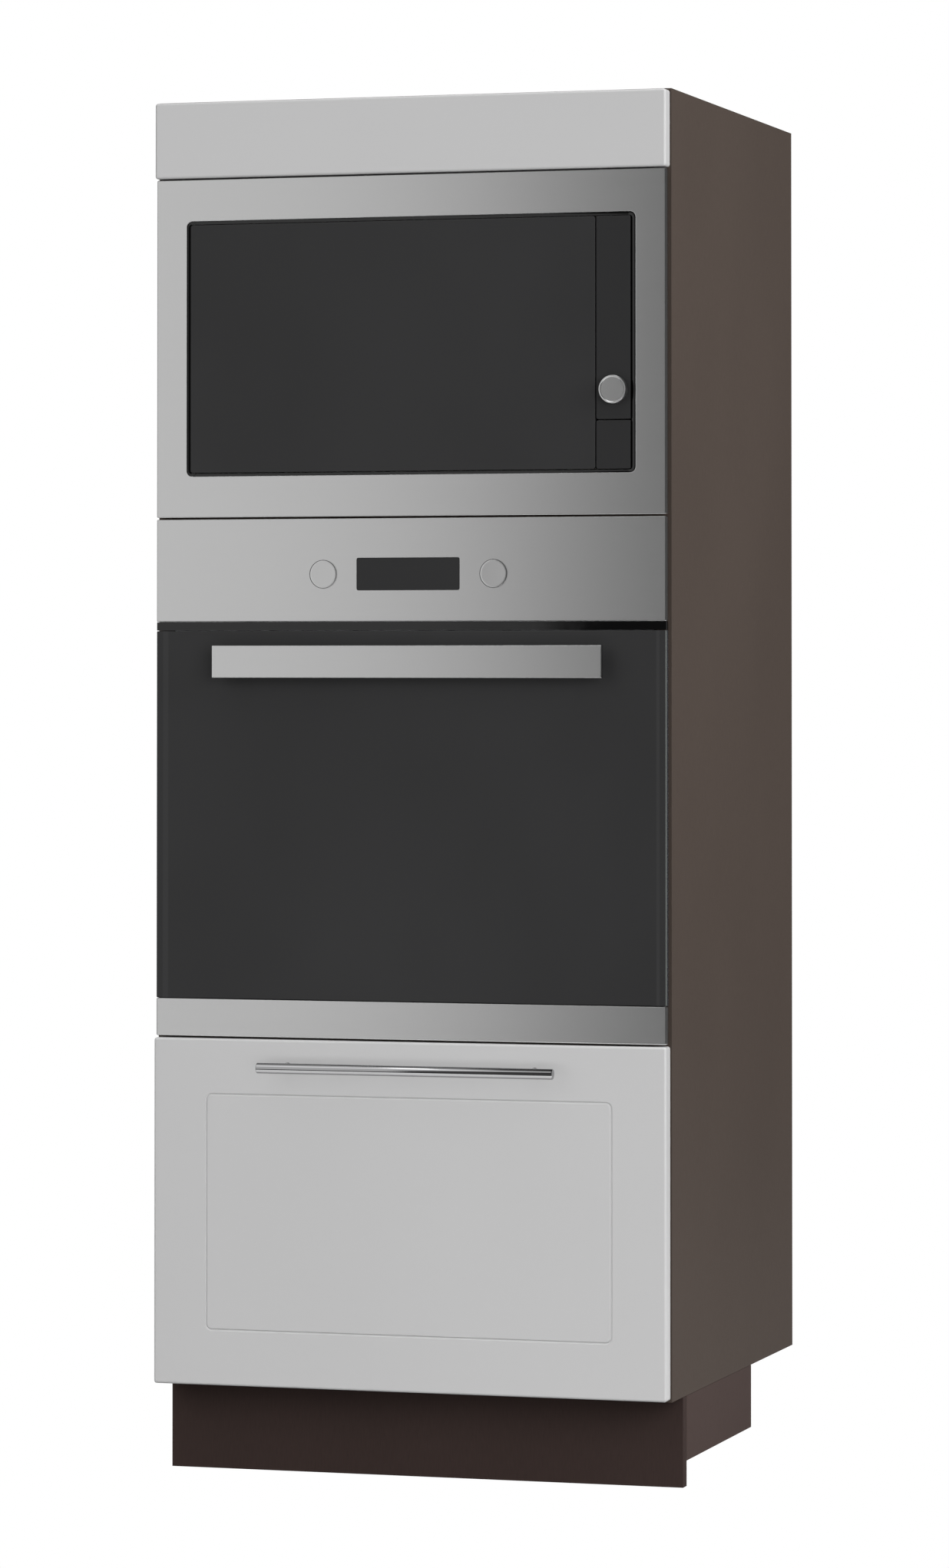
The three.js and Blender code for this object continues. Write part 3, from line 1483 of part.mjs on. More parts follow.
// The door's inner frame, with a channel round its edge and a recessed screen.
function microwaveChokeFrame() {
  const front = glassBack + assemblyGap;
  const back = linerSetback - assemblyGap;
  const left = microwaveDoorLeft + chokeFrameInset;
  const right = microwaveDoorRight - chokeFrameInset;
  const bottom = microwaveDoorBottom + chokeFrameInset;
  const top = microwaveDoorTop - chokeFrameInset;
  const plan = (inset, radius) =>
    roundedRectangle(left + inset, right - inset, bottom + inset, top - inset, radius);
  const body = profileAlongY(plan(0, chokeFrameCorner), front, back, 4);
  const screenFront = back - chokeScreenRecess - chokeScreenThickness;
  const windowFront = profileAlongY(
    plan(chokeFrameBorder, chokeFrameCorner), front - overcut, screenFront, 4,
  );
  const windowBack = profileAlongY(
    plan(chokeFrameBorder, chokeFrameCorner), back - chokeScreenRecess, back + overcut, 4,
  );
  return cut(body, windowFront, windowBack);
}

function microwaveControlPanel() {
  const back = linerSetback - assemblyGap;
  const bottom = buttonTop + microwaveSeamWidth;
  const panel = facePlate(
    stripLeft, stripRight, bottom, microwaveDoorTop, stripCorner, applianceFace, back, microwaveDoorEdge, 2,
  );
  const inside = block(
    stripLeft + stripWall, stripRight - stripWall, glassBack, back + overcut, bottom + stripWall,
    microwaveDoorTop - stripWall,
  );
  const boss = profileAlongY(
    disc(microwaveKnobX, microwaveKnobRise, knobBossRadius), glassBack - overcut,
    applianceFace + knobBossLength, 8,
  );
  const bore = profileAlongY(
    disc(microwaveKnobX, microwaveKnobRise, microwaveKnobShaftRadius + shaftPlay), applianceFace - overcut,
    applianceFace + knobBossLength + overcut, 6,
  );
  return cut(join(cut(panel, inside), boss), bore);
}

// The door-release button: a plate flush with the glass, with its stem through the liner's flange.
function microwaveReleaseButton() {
  const back = applianceFace + buttonDepth;
  const plate = facePlate(
    stripLeft, stripRight, microwaveDoorBottom, buttonTop, stripCorner, applianceFace, back,
    microwaveDoorEdge, 2,
  );
  const stem = disc(stripCentre, buttonMiddle, buttonStemRadius);
  return join(plate, profileAlongY(stem, back - buttonStemRoot, back + buttonStemLength, 6));
}

function microwaveKnob() {
  const front = applianceFace - microwaveKnobHeight;
  const back = applianceFace - assemblyGap;
  const r = microwaveKnobRadius;
  const shaftEnd = applianceFace + microwaveKnobShaftLength;
  return turnedY(
    [
      [0, front + microwaveKnobDish],
      [r - microwaveKnobRim - microwaveKnobDish, front + microwaveKnobDish],
      [r - microwaveKnobRim, front],
      [r - microwaveKnobEdge, front],
      [r, front + microwaveKnobEdge],
      [r, back - microwaveKnobSkirt],
      [r - microwaveKnobDish, back],
      [microwaveKnobShaftRadius, back],
      [microwaveKnobShaftRadius, shaftEnd],
      [0, shaftEnd],
    ],
    microwaveKnobX, microwaveKnobRise, 28,
  );
}

// ---------------------------------------------------------------- turntable

// The glass plate, with the hub that couples it to the drive under the cavity's floor.
function turntable() {
  const under = turntableUnderside;
  const r = turntableRadius;
  return turnedZ(
    [
      [0, microwaveCavityFloor - turntableHubDrop],
      [turntableHubRadius, microwaveCavityFloor - turntableHubDrop],
      [turntableHubRadius, under],
      [r - turntableRimWidth, under],
      [r - turntableRimEdge, under + turntableRimHeight - turntableRimEdge],
      [r, under + turntableRimHeight],
      [r - turntableRimWall, under + turntableRimHeight],
      [r - turntableRimWall * 4, under + turntableThickness],
      [0, under + turntableThickness],
    ],
    turntableX, turntableY, 32,
  );
}

// The ring with three rollers that carries the plate.
function rollerRing() {
  const inner = rollerRingRadius - rollerRingWidth / 2;
  const outer = rollerRingRadius + rollerRingWidth / 2;
  const bottom = rollerAxisRise - rollerRingThickness / 2;
  const top = rollerAxisRise + rollerRingThickness / 2;
  const plan = disc(turntableX, turntableY, outer);
  plan.holes.push(disc(turntableX, turntableY, inner));
  const rollers = [];
  for (let i = 0; i < rollerCount; i++) {
    const roller = new THREE.CylinderGeometry(rollerRadius, rollerRadius, rollerWidth, 16)
      .rotateZ(Math.PI / 2)
      .translate(rollerRingRadius, 0, 0)
      .rotateZ((i * Math.PI * 2) / rollerCount + Math.PI / 2)
      .translate(turntableX, turntableY, rollerAxisRise);
    rollers.push(solid(roller));
  }
  return join(profileAlongZ(plan, bottom, top, 14), ...rollers);
}

function microwave() {
  return group(
    microwaveBottom,
    piece("microwave_frame", microwaveFrame(), "steel"),
    piece("microwave_bezel", microwaveBezel(), "glossBlack"),
    piece("microwave_casing", microwaveCasing(), "galvanised"),
    piece("microwave_cavity", microwaveCavity(), "cavityPaint"),
    piece("microwave_control_panel", microwaveControlPanel(), "blackGlass"),
    piece("microwave_release_button", microwaveReleaseButton(), "blackGlass"),
    piece("microwave_knob", microwaveKnob(), "chrome"),
    piece("microwave_door_glass", microwaveDoorGlass(), "blackGlass"),
    piece("microwave_door_frame", microwaveChokeFrame(), "glossBlack"),
    piece("turntable", turntable(), "clearGlass"),
    piece("roller_ring", rollerRing(), "plastic"),
  );
}

// ---------------------------------------------------------------- the whole unit

// The origin is on the floor, in the middle of the unit's width and of its depth from the bar of the
// drawer's handle to the carcass's rear edge.
const frontmost = frontFace - drawerHandleReach - drawerHandleRadius;
const unit = new THREE.Group();
unit.name = "tall_oven_housing_unit";
unit.position.y = -(frontmost + carcassDepth) / 2;
unit.add(
  cabinet(),
  piece("filler_panel", frontPanel(fillerBottom, fillerHeight), "front"),
  drawer(),
  oven(),
  ovenControls(),
  ovenDoor(),
  microwave(),
);

export default unit;
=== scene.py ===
"""Dresses the tall oven housing unit for its picture and sets up the studio around it.

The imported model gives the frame: every board, casing and mechanism is already in place. This script gives
each of them its finish and makes the pieces that need finer surfaces than flat facets. All sizes are in
metres. +X is to the right, +Y from the front to the back, +Z up.
"""

from __future__ import annotations

import json
import logging
import math
from dataclasses import dataclass, field, replace
from enum import Enum
from functools import cache
from typing import Iterable, Sequence

import bmesh
import bpy
import numpy as np
from mathutils import Euler, Matrix, Vector

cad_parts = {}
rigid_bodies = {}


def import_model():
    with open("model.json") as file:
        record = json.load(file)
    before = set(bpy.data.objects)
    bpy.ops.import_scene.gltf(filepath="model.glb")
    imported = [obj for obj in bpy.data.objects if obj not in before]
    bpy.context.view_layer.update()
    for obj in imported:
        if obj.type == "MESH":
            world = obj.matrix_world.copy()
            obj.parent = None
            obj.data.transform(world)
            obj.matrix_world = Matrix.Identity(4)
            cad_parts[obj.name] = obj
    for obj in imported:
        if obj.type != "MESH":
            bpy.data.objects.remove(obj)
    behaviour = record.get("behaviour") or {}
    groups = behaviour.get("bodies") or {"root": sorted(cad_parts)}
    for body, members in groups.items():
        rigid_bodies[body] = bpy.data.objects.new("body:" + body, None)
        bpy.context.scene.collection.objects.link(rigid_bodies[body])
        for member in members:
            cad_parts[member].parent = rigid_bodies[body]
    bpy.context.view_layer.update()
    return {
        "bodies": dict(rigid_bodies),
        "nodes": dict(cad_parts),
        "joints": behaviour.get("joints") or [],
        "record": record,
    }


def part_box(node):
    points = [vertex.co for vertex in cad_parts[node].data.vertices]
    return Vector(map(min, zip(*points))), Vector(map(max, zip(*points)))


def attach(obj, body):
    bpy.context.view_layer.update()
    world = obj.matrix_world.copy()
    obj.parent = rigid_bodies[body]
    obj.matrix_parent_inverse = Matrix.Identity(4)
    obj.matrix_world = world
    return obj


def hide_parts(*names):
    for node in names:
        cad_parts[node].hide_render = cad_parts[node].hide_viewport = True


log = logging.getLogger("housing_unit")

MM = 0.001
SHARPEST_CORNER = 0.02 * MM
SIDE_HOLD = 0.2 * MM  # a ring this far behind a rounded edge keeps the side flat
FACE_HOLD = 0.3 * MM  # a ring this far inside a rounded edge keeps the face flat

Pair = tuple[float, float]
Triple = tuple[float, float, float]
Colour = Triple
Socket = bpy.types.NodeSocket
Value = Socket | float | Sequence[float]


class Body(Enum):
    """The moving bodies that a piece can ride on."""

    HOUSING = "housing"
    DRAWER = "drawer"
    OVEN_DOOR = "oven_door"
    RACK = "rack"
    KNOB_LEFT = "knob_left"
    KNOB_RIGHT = "knob_right"
    MICROWAVE_DIAL = "microwave_dial"
    TURNTABLE = "turntable"
    ROLLER_RING = "roller_ring"


class Axis(Enum):
    """The direction that a turned shape's axis points in."""

    X = 0
    Y = 1
    Z = 2


# ---------------------------------------------------------------- surfaces


@dataclass
class Surface:
    """A stack of closed rings of points, one grid row per ring.

    The grid's shape is (rings, points in a ring, 3). The two end rings are closed by flat caps, or, when the
    surface is a loop, the last ring joins the first.
    """

    points: np.ndarray
    loop: bool = False

    def vertices(self) -> np.ndarray:
        """Returns the grid as one long list of points."""
        return self.points.reshape(-1, 3)

    def faces(self, first: int) -> list[list[int]]:
        """Lists the faces between neighbouring rings, and the caps.

        Each four-sided face joins point j and j + 1 of ring i with the same points of ring i + 1, and the
        numbering wraps round at the end of a ring.

        Args:
            first: the number of this surface's first point in its mesh.

        Returns:
            The faces, each as a list of point numbers.
        """
        rings, columns = self.points.shape[:2]
        rows = rings if self.loop else rings - 1
        i, j = np.meshgrid(np.arange(rows), np.arange(columns), indexing="ij")
        following = (i + 1) % rings
        beside = (j + 1) % columns
        here, there = i * columns, following * columns
        quads = first + np.stack([here + j, here + beside, there + beside, there + j], axis=-1).reshape(-1, 4)
        faces = quads.tolist()
        if not self.loop:
            faces.append((first + np.arange(columns)[::-1]).tolist())
            faces.append((first + (rings - 1) * columns + np.arange(columns)).tolist())
        return faces


def quarter(radius: float, steps: int) -> list[Pair]:
    """Works out a rounded edge, from the side to the face.

    At an angle a, the edge is short of the face by the radius times one minus the sine of a, and lies inside
    the side by the radius times one minus the cosine of a.

    Args:
        radius: the edge's radius.
        steps: number of points.

    Returns:
        Pairs of distance from the face and distance from the side.
    """
    angle = np.linspace(0, math.pi / 2, steps)
    return list(zip(radius * (1 - np.sin(angle)), radius * (1 - np.cos(angle))))


def rounded_loop(width: float, height: float, radius: float, corner_points: int) -> np.ndarray:
    """Works out the points of a rectangle with rounded corners, centred on 0, 0.

    Each corner is a quarter circle: its centre is the rectangle's corner moved inwards by the radius, and a
    point lies at the centre plus the radius times the cosine and sine of the angle.

    Args:
        width: size along the first coordinate.
        height: size along the second coordinate.
        radius: corner radius.
        corner_points: number of points on each corner.

    Returns:
        An array of (4 * corner_points, 2) points, anticlockwise from the right-hand lower corner.
    """
    radius = max(radius, SHARPEST_CORNER)
    turn = np.arange(4)[:, None] * math.pi / 2 - math.pi / 2
    angle = turn + np.linspace(0, math.pi / 2, corner_points)[None, :]
    sign_u = np.array([1, 1, -1, -1])[:, None]
    sign_v = np.array([-1, 1, 1, -1])[:, None]
    u = sign_u * (width / 2 - radius) + radius * np.cos(angle)
    v = sign_v * (height / 2 - radius) + radius * np.sin(angle)
    return np.stack([u, v], axis=-1).reshape(-1, 2)


@dataclass(frozen=True)
class Ring:
    """One ring of a plate: how far it is inside the plate's outline, its depth, and its corner radius."""

    inset: float
    y: float
    corner: float


@dataclass(frozen=True)
class Outline:
    """The outline of a plate seen from the front, with its corner radius."""

    left: float
    right: float
    bottom: float
    top: float
    corner: float

    @classmethod
    def round_box(cls, low: Vector, high: Vector, corner: float, inset: float = 0.0) -> Outline:
        """Makes the outline of a box seen from the front, smaller all round by an inset."""
        return cls(low.x + inset, high.x - inset, low.z + inset, high.z - inset, corner)

    @property
    def width(self) -> float:
        """The outline's width."""
        return self.right - self.left

    @property
    def height(self) -> float:
        """The outline's height."""
        return self.top - self.bottom

    def plate(self, rings: Sequence[Ring], corner_points: int = 7, loop: bool = False) -> Surface:
        """Carries the outline through a list of rings.

        Point j of ring i is the rounded rectangle's point j, made smaller by the ring's inset, at the
        ring's depth.

        Args:
            rings: the rings from one end of the surface to the other.
            corner_points: number of points on each corner.
            loop: whether the last ring joins the first.

        Returns:
            The surface.
        """
        x = (self.left + self.right) / 2
        z = (self.bottom + self.top) / 2
        grid = []
        for ring in rings:
            width = self.width - 2 * ring.inset
            height = self.height - 2 * ring.inset
            loop_points = rounded_loop(width, height, ring.corner, corner_points)
            y = np.full(len(loop_points), ring.y)
            grid.append(np.stack([loop_points[:, 0] + x, y, loop_points[:, 1] + z], axis=-1))
        return Surface(np.array(grid), loop)

    def eased_rings(self, front: float, back: float, edge: float, steps: int = 6) -> list[Ring]:
        """Lists the rings of a plate with a rounded front edge, from its back to its face.

        Args:
            front: depth of the face.
            back: depth of the back.
            edge: radius of the front edge.
            steps: number of rings round the edge.

        Returns:
            The rings.
        """
        rings = [Ring(0.0, back, self.corner), Ring(0.0, front + edge + SIDE_HOLD, self.corner)]
        rings += [Ring(inset, front + depth, self.corner - inset) for depth, inset in quarter(edge, steps)]
        return [*rings, Ring(edge + FACE_HOLD, front, self.corner - edge)]


def turned(profile: Sequence[Pair], axis: Axis, centre: Vector, points: int = 48) -> Surface:
    """Turns a profile round an axis.

    Point j of ring i lies at the profile's radius i from the axis, at the angle j over the number of points
    of a full turn, and at the profile's position i along the axis, counted from the frame's origin.

    Args:
        profile: pairs of position along the axis and radius.
        axis: the axis's direction.
        centre: any point of the axis.
        points: number of points round the axis.

    Returns:
        The surface.
    """
    along, radius = np.array(profile, dtype=float).T
    angle = np.linspace(0, 2 * math.pi, points, endpoint=False)
    rings = np.empty((len(along), points, 3))
    first, second = [(1, 2), (2, 0), (0, 1)][axis.value]
    rings[:, :, axis.value] = along[:, None]
    rings[:, :, first] = centre[first] + radius[:, None] * np.cos(angle)[None, :]
    rings[:, :, second] = centre[second] + radius[:, None] * np.sin(angle)[None, :]
    return Surface(rings)


def tube(path: np.ndarray, radius: float, points: int = 12, loop: bool = False) -> Surface:
    """Carries a circle along a path that lies in a level plane.

    At each point of the path the circle stands across the path: its first axis is level, at right angles to
    the path's direction, and its second axis is upright.

    Args:
        path: points of the path.
        radius: the tube's radius.
        points: number of points round the tube.
        loop: whether the path is closed.

    Returns:
        The surface.
    """
    if loop:
        direction = np.roll(path, -1, axis=0) - np.roll(path, 1, axis=0)
    else:
        direction = np.gradient(path, axis=0)
    direction /= np.linalg.norm(direction, axis=1)[:, None]
    up = np.array([0.0, 0.0, 1.0])
    level = np.cross(direction, up)
    level /= np.linalg.norm(level, axis=1)[:, None]
    upright = np.cross(level, direction)
    angle = np.linspace(0, 2 * math.pi, points, endpoint=False)
    circle = (
        level[:, None, :] * np.cos(angle)[None, :, None] + upright[:, None, :] * np.sin(angle)[None, :, None]
    )
    return Surface(path[:, None, :] + radius * circle, loop)


def straight(start: Sequence[float], end: Sequence[float], steps: int = 2) -> np.ndarray:
    """Returns evenly spaced points on the line from start to end."""
    share = np.linspace(0, 1, steps)[:, None]
    return np.array(start) * (1 - share) + np.array(end) * share


def put(name: str, data: bpy.types.ID) -> bpy.types.Object:
    """Puts a new object into the scene.

    Args:
        name: the object's name.
        data: its mesh, light or camera.

    Returns:
        The object.
    """
    made = bpy.data.objects.new(name, data)
    bpy.context.scene.collection.objects.link(made)
    return made


@dataclass
class Piece:
    """A piece of the visual model, built from surfaces and put on a moving body."""

    name: str
    body: Body
    slot: str
    finish: Finish
    surfaces: Sequence[Surface]
    replaced: tuple[str, ...] = ()
    sharp_degrees: float = 35.0

    def build(self) -> bpy.types.Object:
        """Makes the mesh object, gives it its finish and lets it ride on its body.

        Returns:
            The new object.
        """
        vertices: list[np.ndarray] = []
        faces: list[list[int]] = []
        count = 0
        for surface in self.surfaces:
            faces.extend(surface.faces(count))
            vertices.append(surface.vertices())
            count += len(vertices[-1])
        mesh = bpy.data.meshes.new(self.name)
        mesh.from_pydata(np.concatenate(vertices).tolist(), [], faces)
        face_outwards(mesh)
        mesh.shade_smooth()
        mesh.set_sharp_from_angle(angle=math.radians(self.sharp_degrees))
        mesh.materials.append(self.finish.material())
        made = put(self.name, mesh)
        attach(made, self.body.value)
        if self.replaced:
            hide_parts(*self.replaced)
        log.info("made %s, %d faces", self.name, len(mesh.polygons))
        return made


def face_outwards(mesh: bpy.types.Mesh) -> None:
    """Turns every face of a closed mesh outwards.

    Args:
        mesh: the mesh, whose shells are all closed.
    """
    work = bmesh.new()
    work.from_mesh(mesh)
    bmesh.ops.recalc_face_normals(work, faces=work.faces)
    work.to_mesh(mesh)
    work.free()


# ---------------------------------------------------------------- finishes


class Finish:
    """A finish, whose material any number of pieces can share."""

    name: str

    @cache
    def material(self) -> bpy.types.Material:
        """Makes the finish's material, once for all pieces.

        Returns:
            The material.
        """
        recipe = Recipe(self.name)
        self.lay_out(recipe)
        return recipe.material

    def lay_out(self, recipe: Recipe) -> None:
        """Lays out the finish's nodes in an empty recipe."""
        raise NotImplementedError


class Tree:
    """An empty tree of shader nodes that is being filled."""

    def __init__(self, owner: bpy.types.Material | bpy.types.World) -> None:
        """Empties the tree of a material or a world.

        Args:
            owner: the material or world.
        """
        owner.use_nodes = True
        self.nodes = owner.node_tree.nodes
        self.links = owner.node_tree.links
        self.nodes.clear()

    def feed(self, value: Value, socket: Socket) -> None:
        """Feeds a socket.

        Args:
            value: another node's output, or a fixed value.
            socket: the socket.
        """
        if isinstance(value, Socket):
            self.links.new(value, socket)
        else:
            socket.default_value = value

    def add(self, kind: str, **inputs: Value) -> bpy.types.Node:
        """Adds a node and feeds its inputs. Underscores in a name stand for spaces.

        Args:
            kind: the node's type, without the words that all shader nodes start with.
            inputs: values or other nodes' outputs by name.

        Returns:
            The node.
        """
        node = self.nodes.new("ShaderNode" + kind)
        self.fill(node, inputs)
        return node

    def fill(self, node: bpy.types.Node, inputs: dict[str, Value]) -> None:
        """Feeds a node's inputs by name, with underscores for spaces."""
        for name, value in inputs.items():
            self.feed(value, node.inputs[name.replace("_", " ")])

    def spread(
        self,
        value: Socket,
        low: float = 0.3,
        high: float = 0.7,
        to_low: Socket | float = 0.0,
        to_high: Socket | float = 1.0,
    ) -> Socket:
        """Maps a value from one range, by default that of a random pattern, to another, held at the ends."""
        ends = {"From_Min": low, "From_Max": high, "To_Min": to_low, "To_Max": to_high}
        return self.add("MapRange", Value=value, **ends).outputs["Result"]


class Recipe(Tree):
    """Lays out one material's nodes round a Principled shader."""

    def __init__(self, name: str) -> None:
        """Starts an empty material with a shader and an output.

        Args:
            name: the material's name.
        """
        self.material = bpy.data.materials.new(name)
        super().__init__(self.material)
        self.shader = self.add("BsdfPrincipled")
        self.add("OutputMaterial", Surface=self.shader.outputs["BSDF"])
        self.place = self.add("TexCoord").outputs["Object"]

    def set(self, **values: Value) -> None:
        """Feeds the shader's own sockets. Underscores in a name stand for spaces."""
        self.fill(self.shader, values)

    def stretched(self, size: float | Sequence[float]) -> Socket:
        """Gives coordinates in which a cube or box of the given size becomes a unit cube."""
        scale = (1 / np.broadcast_to(size, 3)).tolist()
        return self.add("Mapping", Vector=self.place, Scale=scale).outputs["Vector"]

    def noise(self, size: float | Sequence[float], detail: float = 3.0, rough: float = 0.5) -> Socket:
        """Makes a random pattern round 0.5 with features of the given size and a number of finer layers."""
        place = self.stretched(size)
        return self.add("TexNoise", Vector=place, Scale=1.0, Detail=detail, Roughness=rough).outputs["Fac"]

    def cells(self, size: float, feature: str = "F1") -> Socket:
        """Makes a pattern of random cells and gives the distance within them.

        Args:
            size: cell size.
            feature: which distance is given.

        Returns:
            The distance.
        """
        node = self.add("TexVoronoi", Vector=self.stretched(size), Scale=1.0)
        node.feature = feature
        return node.outputs["Distance"]

    def roughen(
        self, value: Socket, smooth: float, rough: float, low: float = 0.3, high: float = 0.7
    ) -> None:
        """Lets a value between two ends make the surface rougher, from smooth to rough."""
        self.set(Roughness=self.spread(value, low, high, smooth, rough))

    def tint(self, share: Socket, colour: Colour, darker: float, lighter: float) -> None:
        """Lets a share from 0 to 1 vary a colour between two factors of itself."""
        self.set(Base_Color=self.blend(share, shade(colour, darker), shade(colour, lighter)))

    def blend(self, share: Socket, first: Colour | Socket, second: Colour | Socket) -> Socket:
        """Mixes two colours.

        Args:
            share: the second colour's share, from 0 to 1.
            first: the first colour.
            second: the second colour.

        Returns:
            The mixed colour.
        """
        node = self.add("Mix", Factor=share)
        node.data_type = "RGBA"
        for name, colour in (("A", first), ("B", second)):
            socket = [s for s in node.inputs if s.name == name and s.type == "RGBA"][0]
            self.feed((*colour, 1.0) if isinstance(colour, tuple) else colour, socket)
        return [s for s in node.outputs if s.type == "RGBA"][0]

    def math(self, operation: str, first: Socket | float, second: Socket | float = 0.0) -> Socket:
        """Works out a sum, product or other simple function of one or two values.

        Args:
            operation: the function's name.
            first: the first value.
            second: the second value, where the function has one.

        Returns:
            The result.
        """
        node = self.add("Math")
        node.operation = operation
        for number, value in enumerate((first, second)):
            self.feed(value, node.inputs[number])
        return node.outputs["Value"]

    def layers(self, first: Socket, weight: float, second: Socket, other: float) -> Socket:
        """Adds two values, each times its own weight."""
        return self.math("ADD", self.math("MULTIPLY", first, weight), self.math("MULTIPLY", second, other))

    def axis_value(self, axis: Axis) -> Socket:
        """Gives one of the three coordinates."""
        return self.add("SeparateXYZ", Vector=self.place).outputs[axis.value]

    def relief(self, height: Socket, depth: float, strength: float = 1.0) -> None:
        """Lets a value from 0 to 1 raise the surface by up to the given depth."""
        bump = self.add("Bump", Distance=depth, Strength=strength, Height=height)
        self.set(Normal=bump.outputs["Normal"])


def shade(colour: Colour, factor: float) -> Colour:
    """Returns a colour made lighter or darker by a factor."""
    return (colour[0] * factor, colour[1] * factor, colour[2] * factor)


@dataclass(frozen=True)
class SatinLacquer(Finish):
    """Sprayed satin lacquer on board: very fine orange peel and a hardly visible change of tone."""

    name: str = "satin_lacquer"
    colour: Colour = (0.462, 0.461, 0.463)
    roughness: float = 0.42
    peel: float = 1.6 * MM
    cloud: float = 0.35

    def lay_out(self, recipe: Recipe) -> None:
        """Lays out soft clouds of tone, the orange peel and a thin clear coat.

        Args:
            recipe: the empty recipe.
        """
        tone = recipe.spread(recipe.noise(self.cloud, 2.0))
        recipe.tint(tone, self.colour, 0.985, 1.012)
        peel = recipe.noise(self.peel, 2.0, 0.4)
        recipe.roughen(peel, self.roughness - 0.03, self.roughness + 0.03)
        recipe.relief(peel, 0.012 * MM, 0.5)
        recipe.set(Coat_Weight=0.12, Coat_Roughness=0.25)


@dataclass(frozen=True)
class Melamine(Finish):
    """Melamine-faced board: one deep colour with a pressed texture of fine pores."""

    name: str = "dark_melamine"
    colour: Colour = (0.0632, 0.0498, 0.0424)
    roughness: float = 0.55
    pore: float = 0.9 * MM
    grain_length: float = 14 * MM
    cloud: Triple = (0.25, 0.25, 0.4)
    gloss: float = 0.01

    def lay_out(self, recipe: Recipe) -> None:
        """Lays out grain and clouds in the tone, and pores in the gloss and the relief.

        Args:
            recipe: the empty recipe.
        """
        pores = recipe.noise(self.pore, 3.0, 0.6)
        grain = recipe.noise((self.pore * 1.4, self.pore * 1.4, self.grain_length), 3.0, 0.55)
        cloud = recipe.noise(self.cloud, 2.0)
        both = recipe.layers(grain, 0.6, cloud, 0.4)
        tone = recipe.spread(both, 0.38, 0.62)
        recipe.tint(tone, self.colour, 0.93, 1.06)
        recipe.roughen(pores, self.roughness - 0.06, self.roughness + 0.08)
        recipe.relief(recipe.math("ADD", pores, grain), 0.03 * MM, 0.45)
        recipe.set(Specular_IOR_Level=self.gloss)


@dataclass(frozen=True)
class BrushedSteel(Finish):
    """Stainless steel ground very finely from left to right: hairlines that show only from close up."""

    name: str = "brushed_steel"
    colour: Colour = (0.556, 0.556, 0.555)
    roughness: float = 0.24
    line_length: float = 45 * MM
    line_width: float = 0.12 * MM

    def lay_out(self, recipe: Recipe) -> None:
        """Lays out the hairlines, two sizes of them.

        Args:
            recipe: the empty recipe.
        """
        lines = recipe.noise((self.line_length, self.line_width, self.line_width), 3.0, 0.6)
        deep = recipe.noise((self.line_length * 3, self.line_width * 3, self.line_width * 3), 1.0)
        both = recipe.layers(lines, 0.7, deep, 0.3)
        tone = recipe.spread(both, 0.36, 0.64)
        recipe.tint(tone, self.colour, 0.985, 1.012)
        recipe.roughen(both, self.roughness - 0.02, self.roughness + 0.03, 0.35, 0.65)
        recipe.relief(lines, 0.001 * MM, 0.2)
        recipe.set(Metallic=1.0)


@dataclass(frozen=True)
class Chrome(Finish):
    """Polished chrome plating with a trace of wiping marks."""

    name: str = "chrome"
    colour: Colour = (0.36, 0.36, 0.365)
    roughness: float = 0.03
    mark: Triple = (30 * MM, 0.8 * MM, 0.8 * MM)

    def lay_out(self, recipe: Recipe) -> None:
        """Lays out the wiping marks.

        Args:
            recipe: the empty recipe.
        """
        marks = recipe.noise(self.mark, 4.0, 0.65)
        recipe.tint(marks, self.colour, 0.97, 1.02)
        recipe.roughen(marks, self.roughness, self.roughness + 0.03, 0.4, 0.75)
        recipe.set(Metallic=1.0)


@dataclass(frozen=True)
class PlainMetal(Finish):
    """Sheet metal with a faint blotched tone: galvanised, coated or bare, as its numbers say."""

    name: str
    colour: Colour
    roughness: float
    metallic: float
    blotch: float = 9 * MM
    grain: float = 0.7 * MM

    def lay_out(self, recipe: Recipe) -> None:
        """Lays out the blotches and a fine grain.

        Args:
            recipe: the empty recipe.
        """
        blotches = recipe.cells(self.blotch, "SMOOTH_F1")
        fine = recipe.noise(self.grain, 2.0)
        tone = recipe.spread(blotches, 0.1, 0.7)
        recipe.tint(tone, self.colour, 0.88, 1.07)
        recipe.roughen(blotches, self.roughness - 0.06, self.roughness + 0.1, 0.1, 0.7)
        recipe.relief(fine, 0.01 * MM, 0.4)
        recipe.set(Metallic=self.metallic)


@dataclass(frozen=True)
class SpeckledEnamel(Finish):
    """Dark baked enamel with pale and dark specks."""

    name: str = "speckled_enamel"
    colour: Colour = (0.017, 0.019, 0.024)
    speck: Colour = (0.22, 0.24, 0.27)
    speck_size: float = 2.2 * MM
    wave: float = 5 * MM

    def lay_out(self, recipe: Recipe) -> None:
        """Lays out the specks on softly wavy enamel.

        Args:
            recipe: the empty recipe.
        """
        near = recipe.cells(self.speck_size)
        waves = recipe.noise(self.wave, 2.0)
        share = recipe.spread(near, 0.1, 0.17, 0.75, 0.0)
        recipe.set(Base_Color=recipe.blend(share, self.colour, self.speck))
        recipe.roughen(waves, 0.2, 0.32)
        recipe.relief(waves, 0.05 * MM, 0.4)
        recipe.set(Coat_Weight=0.3, Coat_Roughness=0.1)


